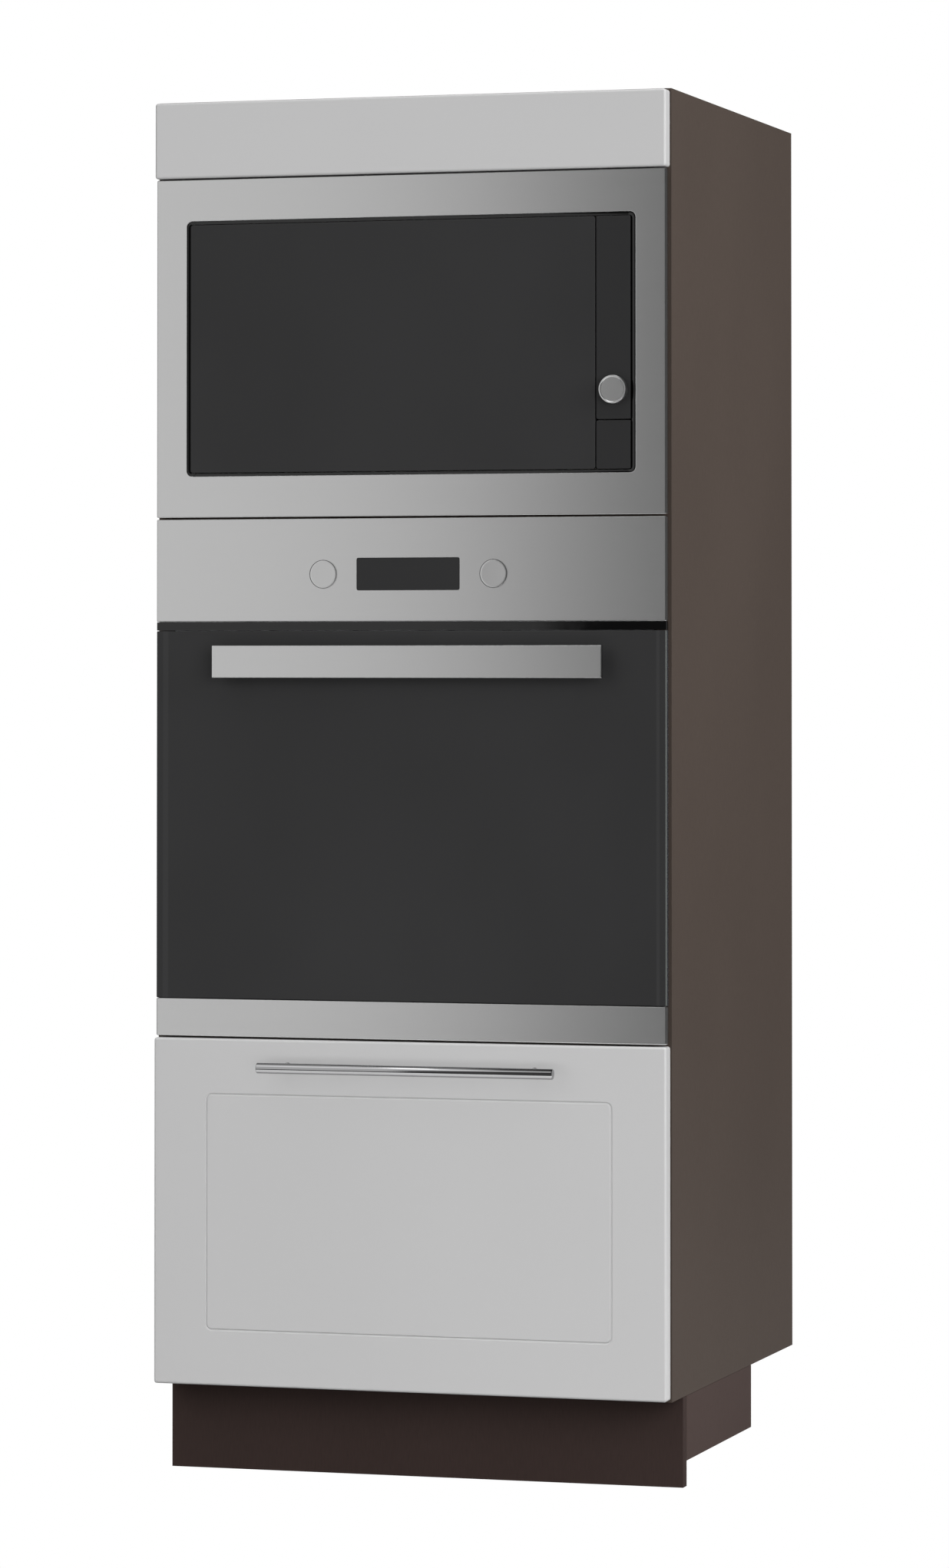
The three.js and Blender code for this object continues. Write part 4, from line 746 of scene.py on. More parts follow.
@dataclass(frozen=True)
class TintedGlass(Finish):
    """Dark glass seen from outside, with faint unevenness, bands of another tone near its upright edges, and
    edge bands: pale ground glass on the oven, a black painted dark reflection on the microwave.
    """

    name: str
    colour: Colour = (0.029, 0.029, 0.0295)
    roughness: float = 0.16
    gloss: float = 0.05
    band_edges: tuple[Pair, ...] = ()
    band_gain: float = 1.22
    # where the edge band starts, and its colour: pale for ground glass, black for a painted dark reflection
    edge_band_start: float = 1.0
    ground_and_painted_reflection_colour: Colour = (0.09, 0.097, 0.093)
    cloud: Triple = (0.2, 0.2, 0.3)
    haze: Triple = (12 * MM, 12 * MM, 18 * MM)

    def lay_out(self, recipe: Recipe) -> None:
        """Lays out the tint, the bands of another tone, the edge bands and a haze. The edge band is pale
        ground glass on the oven and a black painted reflection on the microwave.

        Args:
            recipe: the empty recipe.
        """
        cloud = recipe.spread(recipe.noise(self.cloud, 2.0))
        plain = recipe.blend(cloud, shade(self.colour, 0.94), shade(self.colour, 1.06))
        if self.band_edges:
            x = recipe.axis_value(Axis.X)
            inside: Socket | float = 0.0
            for low, high in self.band_edges:
                after, before = recipe.math("GREATER_THAN", x, low), recipe.math("LESS_THAN", x, high)
                inside = recipe.math("ADD", inside, recipe.math("MULTIPLY", after, before))
            plain = recipe.blend(inside, plain, shade(self.colour, self.band_gain))
        # edge band: the pale ground edge of the oven glass, and on the microwave glass a black painted
        # reflection that stands in for the glossy ring's dark reflection
        side = recipe.math("ABSOLUTE", recipe.axis_value(Axis.X))
        ground = recipe.math("GREATER_THAN", side, self.edge_band_start)
        recipe.set(Base_Color=recipe.blend(ground, plain, self.ground_and_painted_reflection_colour))
        haze = recipe.noise(self.haze, 3.0, 0.6)
        recipe.roughen(haze, self.roughness - 0.02, self.roughness + 0.03)
        recipe.set(Specular_IOR_Level=self.gloss)


@dataclass(frozen=True)
class ClearGlass(Finish):
    """Clear toughened glass with a green cast and a soft haze of use."""

    name: str = "clear_glass"
    colour: Colour = (0.86, 0.93, 0.9)
    haze: float = 25 * MM

    def lay_out(self, recipe: Recipe) -> None:
        """Lays out the haze.

        Args:
            recipe: the empty recipe.
        """
        haze = recipe.noise(self.haze, 3.0, 0.6)
        recipe.set(Base_Color=recipe.blend(haze, self.colour, shade(self.colour, 0.97)))
        recipe.roughen(haze, 0.02, 0.09, 0.35, 0.75)
        recipe.set(IOR=1.5, Transmission_Weight=0.9)


@dataclass(frozen=True)
class MouldedPlastic(Finish):
    """Moulded plastic or rubber: an eroded texture as fine as its numbers say."""

    name: str
    colour: Colour
    roughness: float
    texture: float = 0.8 * MM
    depth: float = 0.03 * MM
    gloss: float = 0.5
    cloud: float = 60 * MM

    def lay_out(self, recipe: Recipe) -> None:
        """Lays out the eroded texture.

        Args:
            recipe: the empty recipe.
        """
        spark = recipe.noise(self.texture, 4.0, 0.7)
        cloud = recipe.noise(self.cloud, 2.0)
        recipe.tint(cloud, self.colour, 0.85, 1.15)
        recipe.roughen(spark, self.roughness - 0.04, self.roughness + 0.06)
        recipe.relief(spark, self.depth, 0.5)
        recipe.set(Specular_IOR_Level=self.gloss)


@dataclass(frozen=True)
class PerforatedScreen(Finish):
    """Dark plastic whose middle is printed with a grid of small holes, as behind a microwave door."""

    name: str = "perforated_screen"
    colour: Colour = (0.012, 0.012, 0.012)
    hole: Colour = (0.002, 0.002, 0.002)
    rim: Colour = (0.05, 0.05, 0.05)
    pitch: float = 2.4 * MM
    wear: float = 20 * MM

    def lay_out(self, recipe: Recipe) -> None:
        """Lays out the grid of holes as the sum of two waves.

        Args:
            recipe: the empty recipe.
        """
        turn = 2 * math.pi / self.pitch
        across, up = (
            recipe.math("COSINE", recipe.math("MULTIPLY", recipe.axis_value(axis), turn))
            for axis in (Axis.X, Axis.Z)
        )
        holes = recipe.spread(recipe.math("ADD", across, up), 0.5, 0.8)
        recipe.set(Base_Color=recipe.blend(holes, self.rim, self.hole))
        wear = recipe.noise(self.wear, 3.0)
        recipe.roughen(wear, 0.25, 0.38)


LACQUER = SatinLacquer()
INSIDE_BOARD = Melamine("pale_melamine", colour=(0.6, 0.6, 0.59), roughness=0.5)
CARCASS_BOARD = Melamine()
# painted shade: the plinth front gets a darker copy of the dark melamine, for the shade in its recess under
# the drawer
SHADED_PLINTH_BOARD = Melamine("plinth_melamine_painted_shade", colour=(0.0385, 0.0265, 0.024), roughness=0.6)
# painted light: the plinth's side returns get a lighter copy of the plinth melamine, for the light that falls
# on them
LIT_RETURN_BOARD = Melamine("return_melamine_painted_light", colour=(0.058, 0.0415, 0.0375), roughness=0.6)
STEEL = BrushedSteel()
CHROME = Chrome()
SATIN_RIM = BrushedSteel("satin_rim", colour=(0.8, 0.8, 0.8), roughness=0.34)
RUNNER_STEEL = PlainMetal("coated_steel", (0.42, 0.43, 0.44), 0.38, 0.35, blotch=30 * MM)
GALVANISED = PlainMetal("galvanised_steel", (0.45, 0.46, 0.47), 0.45, 0.85)
HEATER = PlainMetal("heating_tube", (0.11, 0.105, 0.1), 0.5, 0.9, blotch=14 * MM)
ENAMEL = SpeckledEnamel()
MICROWAVE_PAINT = MouldedPlastic("cavity_paint", (0.66, 0.65, 0.61), 0.42, texture=1.4 * MM, depth=0.02 * MM)
OVEN_GLASS = TintedGlass(
    "oven_glass",
    band_edges=((-289.9 * MM, -283.4 * MM), (286.5 * MM, 290.2 * MM)),
    edge_band_start=296.9 * MM,
)
MICROWAVE_GLASS = TintedGlass(
    "microwave_glass",
    band_edges=((217.4 * MM, 257.5 * MM),),
    band_gain=0.86,
    # painted reflection: the black band at the glass edges stands in for the glossy ring's dark reflection
    edge_band_start=257.2 * MM,
    ground_and_painted_reflection_colour=(0.003, 0.003, 0.003),
)
DISPLAY_GLASS = TintedGlass("display_glass", colour=(0.0245, 0.0245, 0.025), roughness=0.1)
GLOSS_TRIM = MouldedPlastic(
    "gloss_trim", (0.0005, 0.0005, 0.0005), 0.06, texture=30 * MM, depth=0.004 * MM, gloss=0.46
)
DOOR_PLASTIC = PerforatedScreen()
BLACK_PLASTIC = MouldedPlastic("black_plastic", (0.016, 0.016, 0.016), 0.45)
RUBBER = MouldedPlastic("seal_rubber", (0.02, 0.02, 0.02), 0.75, texture=1.2 * MM, depth=0.05 * MM, gloss=0.3)
CLEAR = ClearGlass()


def corners(node: str) -> tuple[Vector, Vector]:
    """Returns the lowest and the highest corner of a CAD node."""
    low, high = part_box(node)
    return Vector(low), Vector(high)


@dataclass
class Assembly:
    """A part of the unit that is built and dressed on its own."""

    frame: dict

    def dress(self, finish: Finish, *nodes: str) -> None:
        """Gives CAD nodes a finish.

        Args:
            finish: the finish.
            nodes: the nodes' names.
        """
        for name in nodes:
            mesh = self.frame["nodes"][name].data
            mesh.materials.clear()
            mesh.materials.append(finish.material())
            log.info("dressed %s in %s", name, finish.name)


# ---------------------------------------------------------------- cabinet


# height above the ground and radius of a leg, in millimetres, from its foot to the cup under the board
LEG_PROFILE = (
    (0.0, 20.5), (0.0, 21.0), (0.6, 21.8), (1.4, 22.0), (4.6, 22.0), (5.6, 21.4), (10.0, 15.2), (12.0, 14.9),
    (66.0, 14.9), (68.7, 15.2), (71.5, 19.4), (72.5, 19.9), (89.6, 19.9), (90.7, 20.2), (94.7, 27.4),
    (95.2, 27.9), (98.9, 27.9), (99.7, 27.2),
)


@dataclass
class Cabinet(Assembly):
    """The carcass on its plinth, with the filler panel above the appliances."""

    front_edge: float = 2.5 * MM
    front_corner: float = 3.2 * MM
    front_thickness: float = 18 * MM
    bumper_radius: float = 5 * MM
    bumper_inset: float = 14 * MM
    bumper_from_side: float = 7.5 * MM
    bumper_sunk: float = 1 * MM
    bumper_ease: Pair = (0.4 * MM, 0.5 * MM)
    foot_segments: int = 40

    def build(self) -> None:
        """Builds and dresses the cabinet."""
        boards = ("side_panel_left", "side_panel_right", "bottom_panel", "top_panel", "oven_shelf")
        more = ("microwave_shelf", "upper_rail", "back_panel", "back_rail")
        self.dress(CARCASS_BOARD, *boards, *more)
        # painted shade: the plinth front wears the darker copy of the dark melamine
        self.dress(SHADED_PLINTH_BOARD, "plinth_front")
        # painted light: the side returns wear the lighter copy of the plinth melamine
        self.dress(LIT_RETURN_BOARD, "plinth_return_left", "plinth_return_right")
        for name in ("leg_front_left", "leg_front_right", "leg_rear_left", "leg_rear_right"):
            self.leg(name)
        self.filler()

    def leg(self, node: str) -> None:
        """Makes an adjusting leg with a collar in place of the faceted one.

        Args:
            node: the CAD node that it replaces.
        """
        low, high = corners(node)
        scale = high.z / LEG_PROFILE[-1][0]
        scaled = [(z * scale, r * MM) for z, r in LEG_PROFILE]
        surface = turned(scaled, Axis.Z, (low + high) / 2, self.foot_segments)
        Piece("made_" + node, Body.HOUSING, "moulded_plastic", BLACK_PLASTIC, [surface], (node,)).build()

    def filler(self) -> None:
        """Makes the filler panel with soft lacquered edges and its four bumpers."""
        low, high = corners("filler_panel")
        outline = Outline.round_box(low, high, self.front_corner)
        back = low.y + self.front_thickness
        plate = outline.plate(outline.eased_rings(low.y, back, self.front_edge))
        surfaces = [plate, *self.bumpers(outline, back, high.y)]
        Piece("filler_face", Body.HOUSING, "front_lacquer", LACQUER, surfaces, ("filler_panel",)).build()

    def bumpers(self, outline: Outline, back: float, end: float) -> list[Surface]:
        """Makes the four bumpers on a front's back.

        Args:
            outline: the front's outline.
            back: depth of the front's back.
            end: depth of the bumpers' ends.

        Returns:
            One surface for each bumper.
        """
        r = self.bumper_radius
        depth, inset = self.bumper_ease
        profile = [(back - self.bumper_sunk, r), (end - depth, r), (end, r - inset)]
        return [
            turned(profile, Axis.Y, Vector((x, 0, z)), 20)
            for x in (outline.left + self.bumper_from_side, outline.right - self.bumper_from_side)
            for z in (outline.bottom + self.bumper_inset, outline.top - self.bumper_inset)
        ]


# ---------------------------------------------------------------- drawer


@dataclass
class Drawer(Assembly):
    """The deep drawer: its front with the milled frame line, its bar handle and its metal box."""

    cabinet: Cabinet
    groove_inset: float = 61 * MM
    groove_width: float = 3 * MM
    groove_depth: float = 1.1 * MM
    groove_corner: float = 8 * MM
    groove_hold: float = 0.4 * MM
    groove_rings: int = 13
    bar_radius: float = 6 * MM
    bar_chamfer: float = 0.8 * MM
    post_spacing: float = 288 * MM
    post_radius: float = 4 * MM
    post_foot_radius: float = 5.2 * MM

    def build(self) -> None:
        """Builds and dresses the drawer."""
        self.face()
        self.handle()
        self.dress(INSIDE_BOARD, "drawer_base", "drawer_back")
        runners = ("runner_fixed_left", "runner_fixed_right", "runner_middle_left", "runner_middle_right")
        self.dress(RUNNER_STEEL, "drawer_side_left", "drawer_side_right")
        self.dress(GALVANISED, *runners)

    def face(self) -> None:
        """Makes the front.

        Its rings go from the back over the rounded edge to the groove, dip through the groove by half a
        cosine wave each way, and close in a flat field.
        """
        low, high = corners("drawer_front")
        outline = Outline.round_box(low, high, self.cabinet.front_corner)
        back = low.y + self.cabinet.front_thickness
        rings = outline.eased_rings(low.y, back, self.cabinet.front_edge)
        rings.append(Ring(self.groove_inset - self.groove_hold, low.y, self.groove_corner))
        for share in np.linspace(0, 1, self.groove_rings):
            dip = self.groove_depth * (1 - math.cos(2 * math.pi * share)) / 2
            inset = self.groove_inset + self.groove_width * share
            corner = self.groove_corner - self.groove_width * share
            rings.append(Ring(inset, low.y + dip, corner))
        last = self.groove_inset + self.groove_width + self.groove_hold
        rings.append(Ring(last, low.y, self.groove_corner - self.groove_width))
        surfaces = [outline.plate(rings, 9), *self.cabinet.bumpers(outline, back, high.y)]
        Piece("drawer_face", Body.DRAWER, "front_lacquer", LACQUER, surfaces, ("drawer_front",)).build()

    def handle(self) -> None:
        """Makes the round bar on two posts with flared feet."""
        low, high = corners("drawer_handle")
        middle = (low + high) / 2
        axis_y = low.y + self.bar_radius
        r, c = self.bar_radius, self.bar_chamfer
        half = (high.x - low.x) / 2
        end = [(-half, r - c - FACE_HOLD), (-half, r - c), (c - half, r), (c + FACE_HOLD - half, r)]
        bar = [(middle.x + x, radius) for x, radius in end + [(-x, radius) for x, radius in end[::-1]]]
        surfaces = [turned(bar, Axis.X, Vector((middle.x, axis_y, middle.z)), 64)]
        foot = high.y
        for side in (-1, 1):
            centre = Vector((middle.x + side * self.post_spacing / 2, 0, middle.z))
            p, f = self.post_radius, self.post_foot_radius
            profile = [(axis_y, p), (foot - 3 * MM, p), (foot - 2.2 * MM, p + 0.2 * MM)]
            profile += [(foot - 1.4 * MM, f), (foot - 0.3 * MM, f), (foot, f - 0.3 * MM)]
            surfaces.append(turned(profile, Axis.Y, centre, 32))
        bar = Piece("drawer_bar", Body.DRAWER, "chrome_bar", CHROME, surfaces, ("drawer_handle",)).build()
        bar.visible_shadow = False


# ---------------------------------------------------------------- oven


@dataclass
class Oven(Assembly):
    """The oven's body, its fittings and its controls."""

    wire_radius: float = 1.6 * MM
    frame_wire_radius: float = 2.5 * MM
    wire_count: int = 11
    rack_corner: float = 12 * MM
    grill_radius: float = 3.25 * MM
    grill_spacing: float = 112 * MM
    grill_run: float = 150 * MM
    knob_edge: float = 0.5 * MM
    knob_dish: float = 0.05 * MM
    knob_flutes: int = 48
    knob_flute_depth: float = 0.35 * MM
    knob_skirt: float = 4 * MM

    def build(self) -> None:
        """Builds and dresses the oven."""
        self.dress(GALVANISED, "oven_casing", "oven_fan", "oven_hinge_left", "oven_hinge_right")
        self.dress(GALVANISED, "oven_knob_shaft_left", "oven_knob_shaft_right")
        self.dress(ENAMEL, "oven_cavity", "oven_tray", "oven_fan_cover")
        self.dress(RUBBER, "oven_door_seal")
        self.dress(STEEL, "oven_fascia")
        self.dress(DISPLAY_GLASS, "oven_display")
        self.dress(GLOSS_TRIM, "oven_trim_strip")
        self.rack()
        self.grill()
        self.knob("oven_knob_left", Body.KNOB_LEFT)
        self.knob("oven_knob_right", Body.KNOB_RIGHT)

    def rack(self) -> None:
        """Makes the wire shelf: a closed frame of thicker rod and thinner wires from front to back."""
        low, high = corners("oven_rack")
        r = self.frame_wire_radius
        z = (low.z + high.z) / 2
        loop = rounded_loop(high.x - low.x - 2 * r, high.y - low.y - 2 * r, self.rack_corner, 10)
        middle = np.array([(low.x + high.x) / 2, (low.y + high.y) / 2])
        path = np.column_stack([loop + middle, np.full(len(loop), z)])
        surfaces = [tube(path, r, 12, loop=True)]
        half = (high.x - low.x) / 2 - r
        for wire in range(1, self.wire_count + 1):
            x = -half + 2 * half * wire / (self.wire_count + 1)
            surfaces.append(tube(straight((x, low.y + r, z), (x, high.y - r, z)), self.wire_radius, 10))
        cross = straight((low.x + r, middle[1], z), (high.x - r, middle[1], z))
        surfaces.append(tube(cross, self.wire_radius, 10))
        Piece("rack_wires", Body.RACK, "chrome_bar", CHROME, surfaces, ("oven_rack",)).build()

    def grill(self) -> None:
        """Makes the grill element: straight runs joined by half-turns, in a level plane."""
        low, high = corners("grill_element")
        r = self.grill_radius
        bend = self.grill_spacing / 2
        z = (low.z + high.z) / 2
        front = low.y + r + bend
        rear = front + self.grill_run
        back = high.y
        first = -1.5 * self.grill_spacing
        turns = np.linspace(0, math.pi, 17)
        path = [straight((first, back, z), (first, front, z), 10)]
        for number, forward in enumerate((1, -1, 1)):
            centre_x = first + bend * (2 * number + 1)
            centre_y = front if forward == 1 else rear
            x = centre_x - bend * np.cos(turns)
            y = centre_y - forward * bend * np.sin(turns)
            path.append(np.column_stack([x, y, np.full(len(x), z)]))
        path.append(straight((-first, front, z), (-first, back, z), 10))
        whole = np.concatenate(path)
        apart = np.linalg.norm(np.diff(whole, axis=0), axis=1) > 0.01 * MM
        whole = whole[np.concatenate([[True], apart])]
        surface = tube(whole, r, 16)
        Piece("grill_tube", Body.HOUSING, "galvanised_steel", HEATER, [surface], ("grill_element",)).build()

    def knob(self, node: str, body: Body) -> None:
        """Makes a flush knob with a nearly flat steel cap and a fluted barrel.

        Point j of the barrel's rings lies at the radius less a share of the flute depth, which follows the
        cosine of the flute count times the angle. The flutes fade out towards the cap.

        Args:
            node: the CAD node that it replaces.
            body: the body that it rides on.
        """
        low, high = corners(node)
        radius = (high.x - low.x) / 2
        centre = (low + high) / 2
        face, back = low.y, high.y
        profile = [(back, radius * 0.3), (back, radius - FACE_HOLD), (face + self.knob_skirt, radius)]
        profile += [(face + depth, radius - inset) for depth, inset in quarter(self.knob_edge, 6)]
        inner = radius - self.knob_edge
        for share in np.linspace(0.12, 0.96, 6):
            profile.append((face + self.knob_dish * share * (2 - share), inner * (1 - share)))
        surface = turned(profile, Axis.Y, centre, self.knob_flutes * 4)
        angle = np.linspace(0, 2 * math.pi, self.knob_flutes * 4, endpoint=False)
        depth = self.knob_flute_depth * (0.5 - 0.5 * np.cos(self.knob_flutes * angle))
        outward = surface.points[1:3] - np.array([centre.x, 0, centre.z])
        outward[:, :, 1] = 0
        outward /= np.linalg.norm(outward, axis=2)[:, :, None]
        surface.points[1:3] -= outward * depth[None, :, None]
        Piece(node + "_cap", body, "brushed_steel", STEEL, [surface], (node,), 50.0).build()


@dataclass
class OvenDoor(Assembly):
    """The drop-down door: glass, steel rail, inner tray, inner pane and flat bar handle."""

    handle_edge: float = 0.9 * MM
    handle_corner: float = 0.8 * MM
    handle_thickness: float = 6 * MM
    post_spacing: float = 392 * MM
    post_width: float = 22 * MM
    post_height: float = 14 * MM
    post_corner: float = 3 * MM

    def build(self) -> None:
        """Builds and dresses the door."""
        self.dress(OVEN_GLASS, "oven_door_glass")
        self.dress(STEEL, "oven_door_rail")
        self.dress(ENAMEL, "oven_door_tray")
        self.dress(CLEAR, "oven_door_inner_glass")
        self.handle()

    def handle(self) -> None:
        """Makes the flat bar with eased edges on two rounded blocks."""
        low, high = corners("oven_door_handle")
        outline = Outline.round_box(low, high, self.handle_corner)
        back = low.y + self.handle_thickness
        e = self.handle_edge
        rings = [Ring(e, back, 0.1 * MM), Ring(e * 0.3, back - e * 0.3, 0.5 * MM)]
        rings += outline.eased_rings(low.y, back - e, e * 0.85)
        middle = (low + high) / 2
        surfaces = [outline.plate(rings, 5)]
        half = Vector((self.post_width / 2, 0, self.post_height / 2))
        start = low.y + self.handle_thickness / 2
        for side in (-1, 1):
            centre = middle + Vector((side * self.post_spacing / 2, 0, 0))
            post = Outline.round_box(centre - half, centre + half, self.post_corner)
            rings = [Ring(0, start, self.post_corner), Ring(0, high.y, self.post_corner)]
            surfaces.append(post.plate(rings, 6))
        Piece(
            "oven_door_bar", Body.OVEN_DOOR, "brushed_steel", STEEL, surfaces, ("oven_door_handle",)
        ).build()


# ---------------------------------------------------------------- microwave


@dataclass
class Microwave(Assembly):
    """The microwave oven: frame, glossy ring, door, controls, cavity and turntable."""

    frame_edge: float = 1.0 * MM
    frame_corner: float = 1.6 * MM
    frame_sheet: float = 1.5 * MM
    window: tuple[float, float, float, float] = (-261.5 * MM, 261.5 * MM, 46.4 * MM, 334.4 * MM)
    window_corner: float = 6.5 * MM
    window_lip: float = 0.5 * MM
    ring_lap: float = 4.5 * MM
    ring_width: float = 3.2 * MM
    ring_sink: float = 0.5 * MM
    frame_ease: Pair = (1.4 * MM, 0.4 * MM)
    dial_proud: float = 9.5 * MM
    dial_edge: float = 0.6 * MM
    dial_rim: float = 2.0 * MM
    dial_shaft: float = 3.0 * MM
    disc_sink: float = 0.4 * MM
    disc_seat: float = 1.2 * MM
    disc_middle: float = 1 * MM
    ring_roll: int = 9
    ring_tightening: float = 0.6
    plate_depth: float = 9 * MM
    hub_radius: float = 9.7 * MM
    wheel_circle: float = 96 * MM

    def build(self) -> None:
        """Builds and dresses the microwave oven."""
        self.steel_frame()
        self.glossy_ring()
        self.dial()
        self.turntable()
        self.rollers()
        self.dress(GALVANISED, "microwave_casing")
        self.dress(MICROWAVE_PAINT, "microwave_cavity")
        glass = ("microwave_door_glass", "microwave_control_panel", "microwave_release_button")
        self.dress(MICROWAVE_GLASS, *glass)
        self.dress(DOOR_PLASTIC, "microwave_door_frame")

    def window_outline(self, bottom: float) -> Outline:
        """Returns the outline of the frame's window, for a frame whose lower edge is at the given height."""
        left, right, low, high = self.window
        return Outline(left, right, bottom + low, bottom + high, self.window_corner)

    def steel_frame(self) -> None:
        """Makes the folded frame as one ring: outer return, eased edge, face, eased window edge, back."""
        low, high = corners("microwave_frame")
        outer = Outline.round_box(low, high, self.frame_corner)
        ring = self.window_outline(low.z)
        ease_right, ease_top = self.frame_ease
        window = replace(ring, right=ring.right + ease_right, top=ring.top + ease_top)
        sheet, edge = self.frame_sheet, self.frame_edge
        rings_out = outer.eased_rings(low.y, high.y, edge)
        points_out = outer.plate(rings_out, 9).points
        lip, corner = self.window_lip, self.window_corner
        rings_in = [Ring(-lip - FACE_HOLD, low.y, corner + lip)]
        rings_in += [Ring(-out, low.y + depth, corner + out) for out, depth in quarter(lip, 5)]
        rings_in.append(Ring(0.0, low.y + sheet, corner))
        points_in = window.plate(rings_in, 9).points
        inner = Outline.round_box(low, high, self.frame_corner * 0.4, sheet)
        rings_back = [Ring(0.0, low.y + sheet, 0.5 * MM), Ring(0.0, high.y, 0.5 * MM)]
        points_back = inner.plate(rings_back, 9).points
        whole = Surface(np.concatenate([points_out, points_in, points_back]), loop=True)
        Piece(
            "microwave_trim", Body.HOUSING, "brushed_steel", STEEL, [whole], ("microwave_frame",)
        ).build()

    def glossy_ring(self) -> None:
        """Makes the glossy ring round the door, rolled softly towards the glass.

        Across the visible part, the ring's depth follows a quarter of a cosine wave.
        """
        low, high = corners("microwave_bezel")
        frame_low, _ = corners("microwave_frame")
        window = self.window_outline(frame_low.z)
        rings = [Ring(-self.ring_lap, high.y, self.window_corner + 2 * MM)]
        rings.append(Ring(-self.ring_lap, low.y, self.window_corner + 2 * MM))
        for share in np.linspace(0, 1, self.ring_roll):
            inset = self.ring_width * share
            sink = self.ring_sink * (1 - math.cos(share * math.pi / 2))
            rings.append(Ring(inset, low.y + sink, self.window_corner - inset * self.ring_tightening))
        rings.append(replace(rings[-1], y=high.y))
        surface = window.plate(rings, 9, loop=True)
        Piece(
            "microwave_glossy_ring", Body.HOUSING, "gloss_black", GLOSS_TRIM, [surface], ("microwave_bezel",)
        ).build()

    def dial(self) -> None:
        """Makes the dial: a pale rim round a flat satin disc, and its shaft."""
        low, high = corners("microwave_knob")
        radius = (high.x - low.x) / 2
        centre = (low + high) / 2
        front = low.y
        back = front + self.dial_proud - 0.3 * MM
        edge, shaft = self.dial_edge, self.dial_shaft
        rim = [
            (high.y, shaft - 0.3 * MM), (high.y - 0.3 * MM, shaft), (back, shaft), (back, radius - 0.9 * MM),
            (back - 0.6 * MM, radius - 0.3 * MM), (back - 2 * MM, radius), (front + edge + FACE_HOLD, radius),
        ]
        rim += [(front + depth, radius - inset) for depth, inset in quarter(edge, 7)]
        disc_radius = radius - self.dial_rim
        sink, floor = self.disc_sink, front + self.disc_seat
        rim += [(front, disc_radius + sink), (front + sink, disc_radius)]
        rim += [(floor, disc_radius), (floor, self.disc_middle)]
        surface = turned(rim, Axis.Y, centre, 96)
        Piece(
            "microwave_dial_rim", Body.MICROWAVE_DIAL, "chrome_bar", SATIN_RIM, [surface], ("microwave_knob",)
        ).build()
        edge_radius = disc_radius - 0.1 * MM
        disc = [(floor + 0.2 * MM, edge_radius), (front + sink + 0.1 * MM, edge_radius)]
        disc += [(front + sink, edge_radius - 0.15 * MM), (front + sink, self.disc_middle)]
        face = turned(disc, Axis.Y, centre, 96)
        Piece(
            "microwave_dial_disc", Body.MICROWAVE_DIAL, "brushed_steel", STEEL, [face], sharp_degrees=20.0
        ).build()

    def turntable(self) -> None:
        """Makes the glass plate with a rolled rim and its hub."""
        low, high = corners("turntable")
        r = (high.x - low.x) / 2
        rim_top = high.z
        under = rim_top - self.plate_depth
        hub = self.hub_radius
        profile = [(low.z, hub - 0.5 * MM), (low.z + 0.5 * MM, hub), (under, hub), (under, r - 16 * MM)]
        profile += [(under + 0.4 * MM, r - 14 * MM), (under + 6 * MM, r - 3 * MM), (rim_top - 2 * MM, r)]
        profile += [(rim_top - 0.6 * MM, r), (rim_top, r - 0.8 * MM), (rim_top - 0.3 * MM, r - 2.5 * MM)]
        profile += [(under + 5.6 * MM, r - 15 * MM), (under + 5 * MM, r - 18 * MM), (under + 5 * MM, 5 * MM)]
        surface = turned(profile, Axis.Z, (low + high) / 2, 96)
        Piece("turntable_plate", Body.TURNTABLE, "clear_glass", CLEAR, [surface], ("turntable",)).build()

    def rollers(self) -> None:
        """Makes the roller ring: a flat-sided ring that carries three wheels."""
        low, high = corners("roller_ring")
        plate_low, plate_high = corners("turntable")
        centre = np.array([*((plate_low + plate_high) / 2).xy, (low.z + high.z) / 2])
        round_ring = np.linspace(0, 2 * math.pi, 72, endpoint=False)
        section = rounded_loop(8 * MM, 4 * MM, 1.2 * MM, 4)
        radius = self.wheel_circle + section[:, 0]
        x = centre[0] + np.cos(round_ring)[:, None] * radius[None, :]
        y = centre[1] + np.sin(round_ring)[:, None] * radius[None, :]
        height = np.broadcast_to(centre[2] + section[:, 1], x.shape)
        surfaces = [Surface(np.stack([x, y, height], axis=-1), loop=True)]
        profile = [(-4.5 * MM, 5 * MM), (-4 * MM, 6 * MM), (4 * MM, 6 * MM), (4.5 * MM, 5 * MM)]
        wheel = turned([(self.wheel_circle + x, r) for x, r in profile], Axis.X, Vector((0, 0, 0)), 28)
        for third in range(3):
            turn = np.array(Matrix.Rotation(math.pi / 2 + third * 2 * math.pi / 3, 3, "Z"))
            surfaces.append(Surface(wheel.points @ turn.T + centre))
        Piece(
            "roller_ring_wheels", Body.ROLLER_RING, "moulded_plastic", BLACK_PLASTIC, surfaces,
            ("roller_ring",),
        ).build()


# ---------------------------------------------------------------- studio


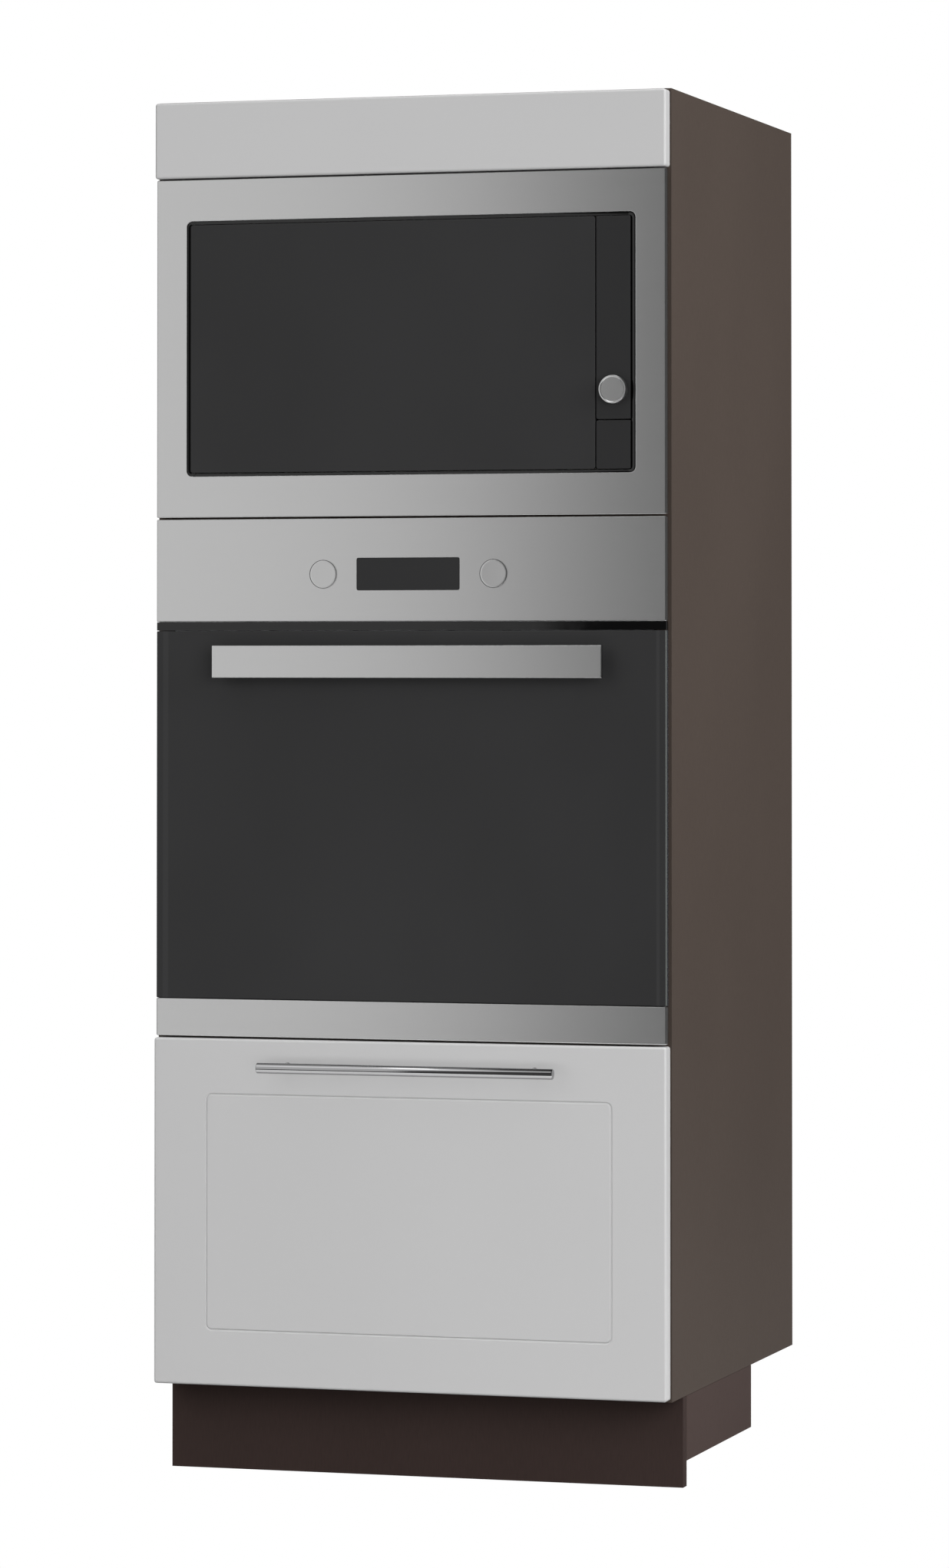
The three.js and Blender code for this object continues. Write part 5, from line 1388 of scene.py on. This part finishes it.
@dataclass(frozen=True)
class SoftBox:
    """A rectangular studio light: where its middle stands, what it faces, its size and its power.

    A light that isn't reflected brightens surfaces without its picture in steel and glass. A light can be
    kept off one piece, or kept for one piece only.
    """

    name: str
    place: Triple
    target: Triple
    width: float
    height: float
    power: float
    reflected: bool = False
    kept_off: str = ""
    kept_for: str = ""

    def build(self) -> None:
        """Makes the light."""
        lamp = bpy.data.lights.new(self.name, "AREA")
        lamp.shape = "RECTANGLE"
        lamp.size = self.width
        lamp.size_y = self.height
        lamp.energy = self.power
        made = put(self.name, lamp)
        made.location = self.place
        made.rotation_euler = (Vector(self.target) - Vector(self.place)).to_track_quat("-Z", "Y").to_euler()
        made.visible_camera = False
        made.visible_glossy = self.reflected
        if self.kept_off or self.kept_for:
            linked = bpy.data.collections.new(self.name + "_linked")
            linked.objects.link(bpy.data.objects[self.kept_off or self.kept_for])
            made.light_linking.receiver_collection = linked
            if self.kept_off:
                linked.collection_objects[0].light_linking.link_state = "EXCLUDE"


@dataclass
class Studio:
    """The camera, the pale floor and the soft lights."""

    camera_place: Triple = (1.9130, -6.3373, 0.9076)
    yaw_degrees: float = 16.8305
    pitch_degrees: float = 1.128
    roll_degrees: float = -0.006
    focal_pixels: float = 7432.0
    centre_row: float = 723.9
    picture_height: int = 2043
    floor_sides: Pair = (-1.4, 1.4)
    floor_ends: Pair = (-1.1, 3.2)
    floor_tone: float = 0.93
    backdrop: float = 1.0
    low_air: float = 0.10
    high_air: float = 0.9
    mirrored_left: float = 0.82
    mirrored_right: float = 0.12
    lighting_rise: Pair = (0.5, 0.9)
    mirrored_rise: Pair = (0.5, 0.7)
    mirrored_change: Pair = (-0.2925, -0.284)
    floor_light: float = 1.15
    overhead_degrees: float = 30.0
    lights: Sequence[SoftBox] = field(
        default_factory=lambda: (
            SoftBox("left_panel", (-2.34, -3.2, 1.5), (-2.34, 0.0, 1.5), 3.02, 3.4, 26.4, True, "drawer_bar"),
            SoftBox(
                "bar_panel", (-2.43, -3.2, 3.0), (-2.43, 0.0, 3.0), 3.02, 6.4, 49.7, True,
                kept_for="drawer_bar",
            ),
            SoftBox("left_edge", (-0.75, -3.2, 1.5), (-0.75, 0.0, 1.5), 0.16, 3.4, 1.2, True, "drawer_bar"),
            SoftBox("key_box", (-2.0, -4.2, 2.6), (0.0, -0.3, 0.8), 3.2, 3.0, 49.0),
            SoftBox("right_fill", (2.6, -3.6, 1.4), (0.0, -0.2, 0.7), 3.0, 2.4, 102.0),
            SoftBox("right_box", (3.6, -0.4, 2.2), (0.3, 0.0, 0.8), 2.4, 2.4, 136.0),
            SoftBox("low_fill", (0.3, -1.8, 0.15), (0.0, -0.2, 0.35), 2.0, 0.4, 6.1),
            SoftBox("top_strip", (-1.31, -2.2, 4.2), (-1.31, -0.6, 0.6), 0.09, 1.6, 0.86, reflected=True),
        )
    )

    def build(self) -> None:
        """Sets up the whole studio."""
        self.camera()
        self.floor()
        self.world()
        for light in self.lights:
            light.build()
        self.overhead()
        bpy.context.scene.view_settings.view_transform = "Standard"

    def camera(self) -> None:
        """Places the camera where the photograph was taken from."""
        lens = bpy.data.cameras.new("camera")
        lens.sensor_fit = "VERTICAL"
        lens.sensor_height = 36.0
        lens.lens = self.focal_pixels / self.picture_height * lens.sensor_height
        lens.shift_y = self.centre_row / self.picture_height - 0.5
        lens.clip_end = 200.0
        made = put("camera", lens)
        made.location = self.camera_place
        pitch = math.radians(90 + self.pitch_degrees)
        made.rotation_euler = Euler((pitch, math.radians(self.roll_degrees), math.radians(self.yaw_degrees)))
        bpy.context.scene.camera = made

    def overhead(self) -> None:
        """Adds a wide sun straight above, whose light on the floor is mirrored in the unit."""
        lamp = bpy.data.lights.new("overhead", "SUN")
        lamp.energy = self.floor_light
        lamp.angle = math.radians(self.overhead_degrees)
        put("overhead", lamp).location = (0.0, 0.0, 5.0)

    def floor(self) -> None:
        """Lays the pale floor, which the camera sees as white as the air behind the unit."""
        (left, right), (front, rear) = self.floor_sides, self.floor_ends
        rim = [(left, front, 0.0), (right, front, 0.0), (right, rear, 0.0), (left, rear, 0.0)]
        mesh = bpy.data.meshes.new("floor")
        mesh.from_pydata(rim, [], [(0, 1, 2, 3)])
        recipe = Recipe("floor_paint")
        tone = recipe.noise(1.5, 2.0)
        pale = (self.floor_tone,) * 3
        seen = recipe.add("LightPath").outputs["Is Camera Ray"]
        paint = recipe.blend(tone, pale, shade(pale, 1.01))
        recipe.set(Base_Color=recipe.blend(seen, paint, (0.0, 0.0, 0.0)))
        recipe.set(Emission_Strength=seen, Emission_Color=(1.0, 1.0, 1.0, 1.0))
        recipe.set(Roughness=0.7, Specular_IOR_Level=0.0)
        mesh.materials.append(recipe.material)
        made = put("floor", mesh)
        made.visible_diffuse = False

    def world(self) -> None:
        """Makes the air round the studio.

        The camera sees it as white behind the unit. It lights the unit softly, mostly from above. Its upper
        half is mirrored in steel and chrome, bright on the left and dark on the right. The two rises say
        between which upward parts of a direction the air changes, and the change says the same of the part to
        the right.
        """
        world = bpy.data.worlds.new("studio")
        tree = Tree(world)
        direction = tree.add("SeparateXYZ", Vector=tree.add("TexCoord").outputs["Generated"])
        x, z = direction.outputs["X"], direction.outputs["Z"]
        ray = tree.add("LightPath").outputs
        lighting = tree.spread(z, *self.lighting_rise, self.low_air, self.high_air)
        side = tree.spread(x, *self.mirrored_change, self.mirrored_left, self.mirrored_right)
        mirrored = tree.spread(z, *self.mirrored_rise, self.low_air, side)
        unseen = tree.spread(ray["Is Glossy Ray"], 0.0, 1.0, lighting, mirrored)
        strength = tree.spread(ray["Is Camera Ray"], 0.0, 1.0, unseen, self.backdrop)
        air = tree.add("Background", Color=(1, 1, 1, 1), Strength=strength)
        tree.add("OutputWorld", Surface=air.outputs["Background"])
        bpy.context.scene.world = world


def main() -> None:
    """Builds the studio and the unit, piece by piece."""
    logging.basicConfig(level=logging.INFO, format="%(name)s: %(message)s")
    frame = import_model()
    cabinet = Cabinet(frame)
    cabinet.build()
    Drawer(frame, cabinet).build()
    Oven(frame).build()
    OvenDoor(frame).build()
    Microwave(frame).build()
    Studio().build()


if __name__ == "__main__":
    main()
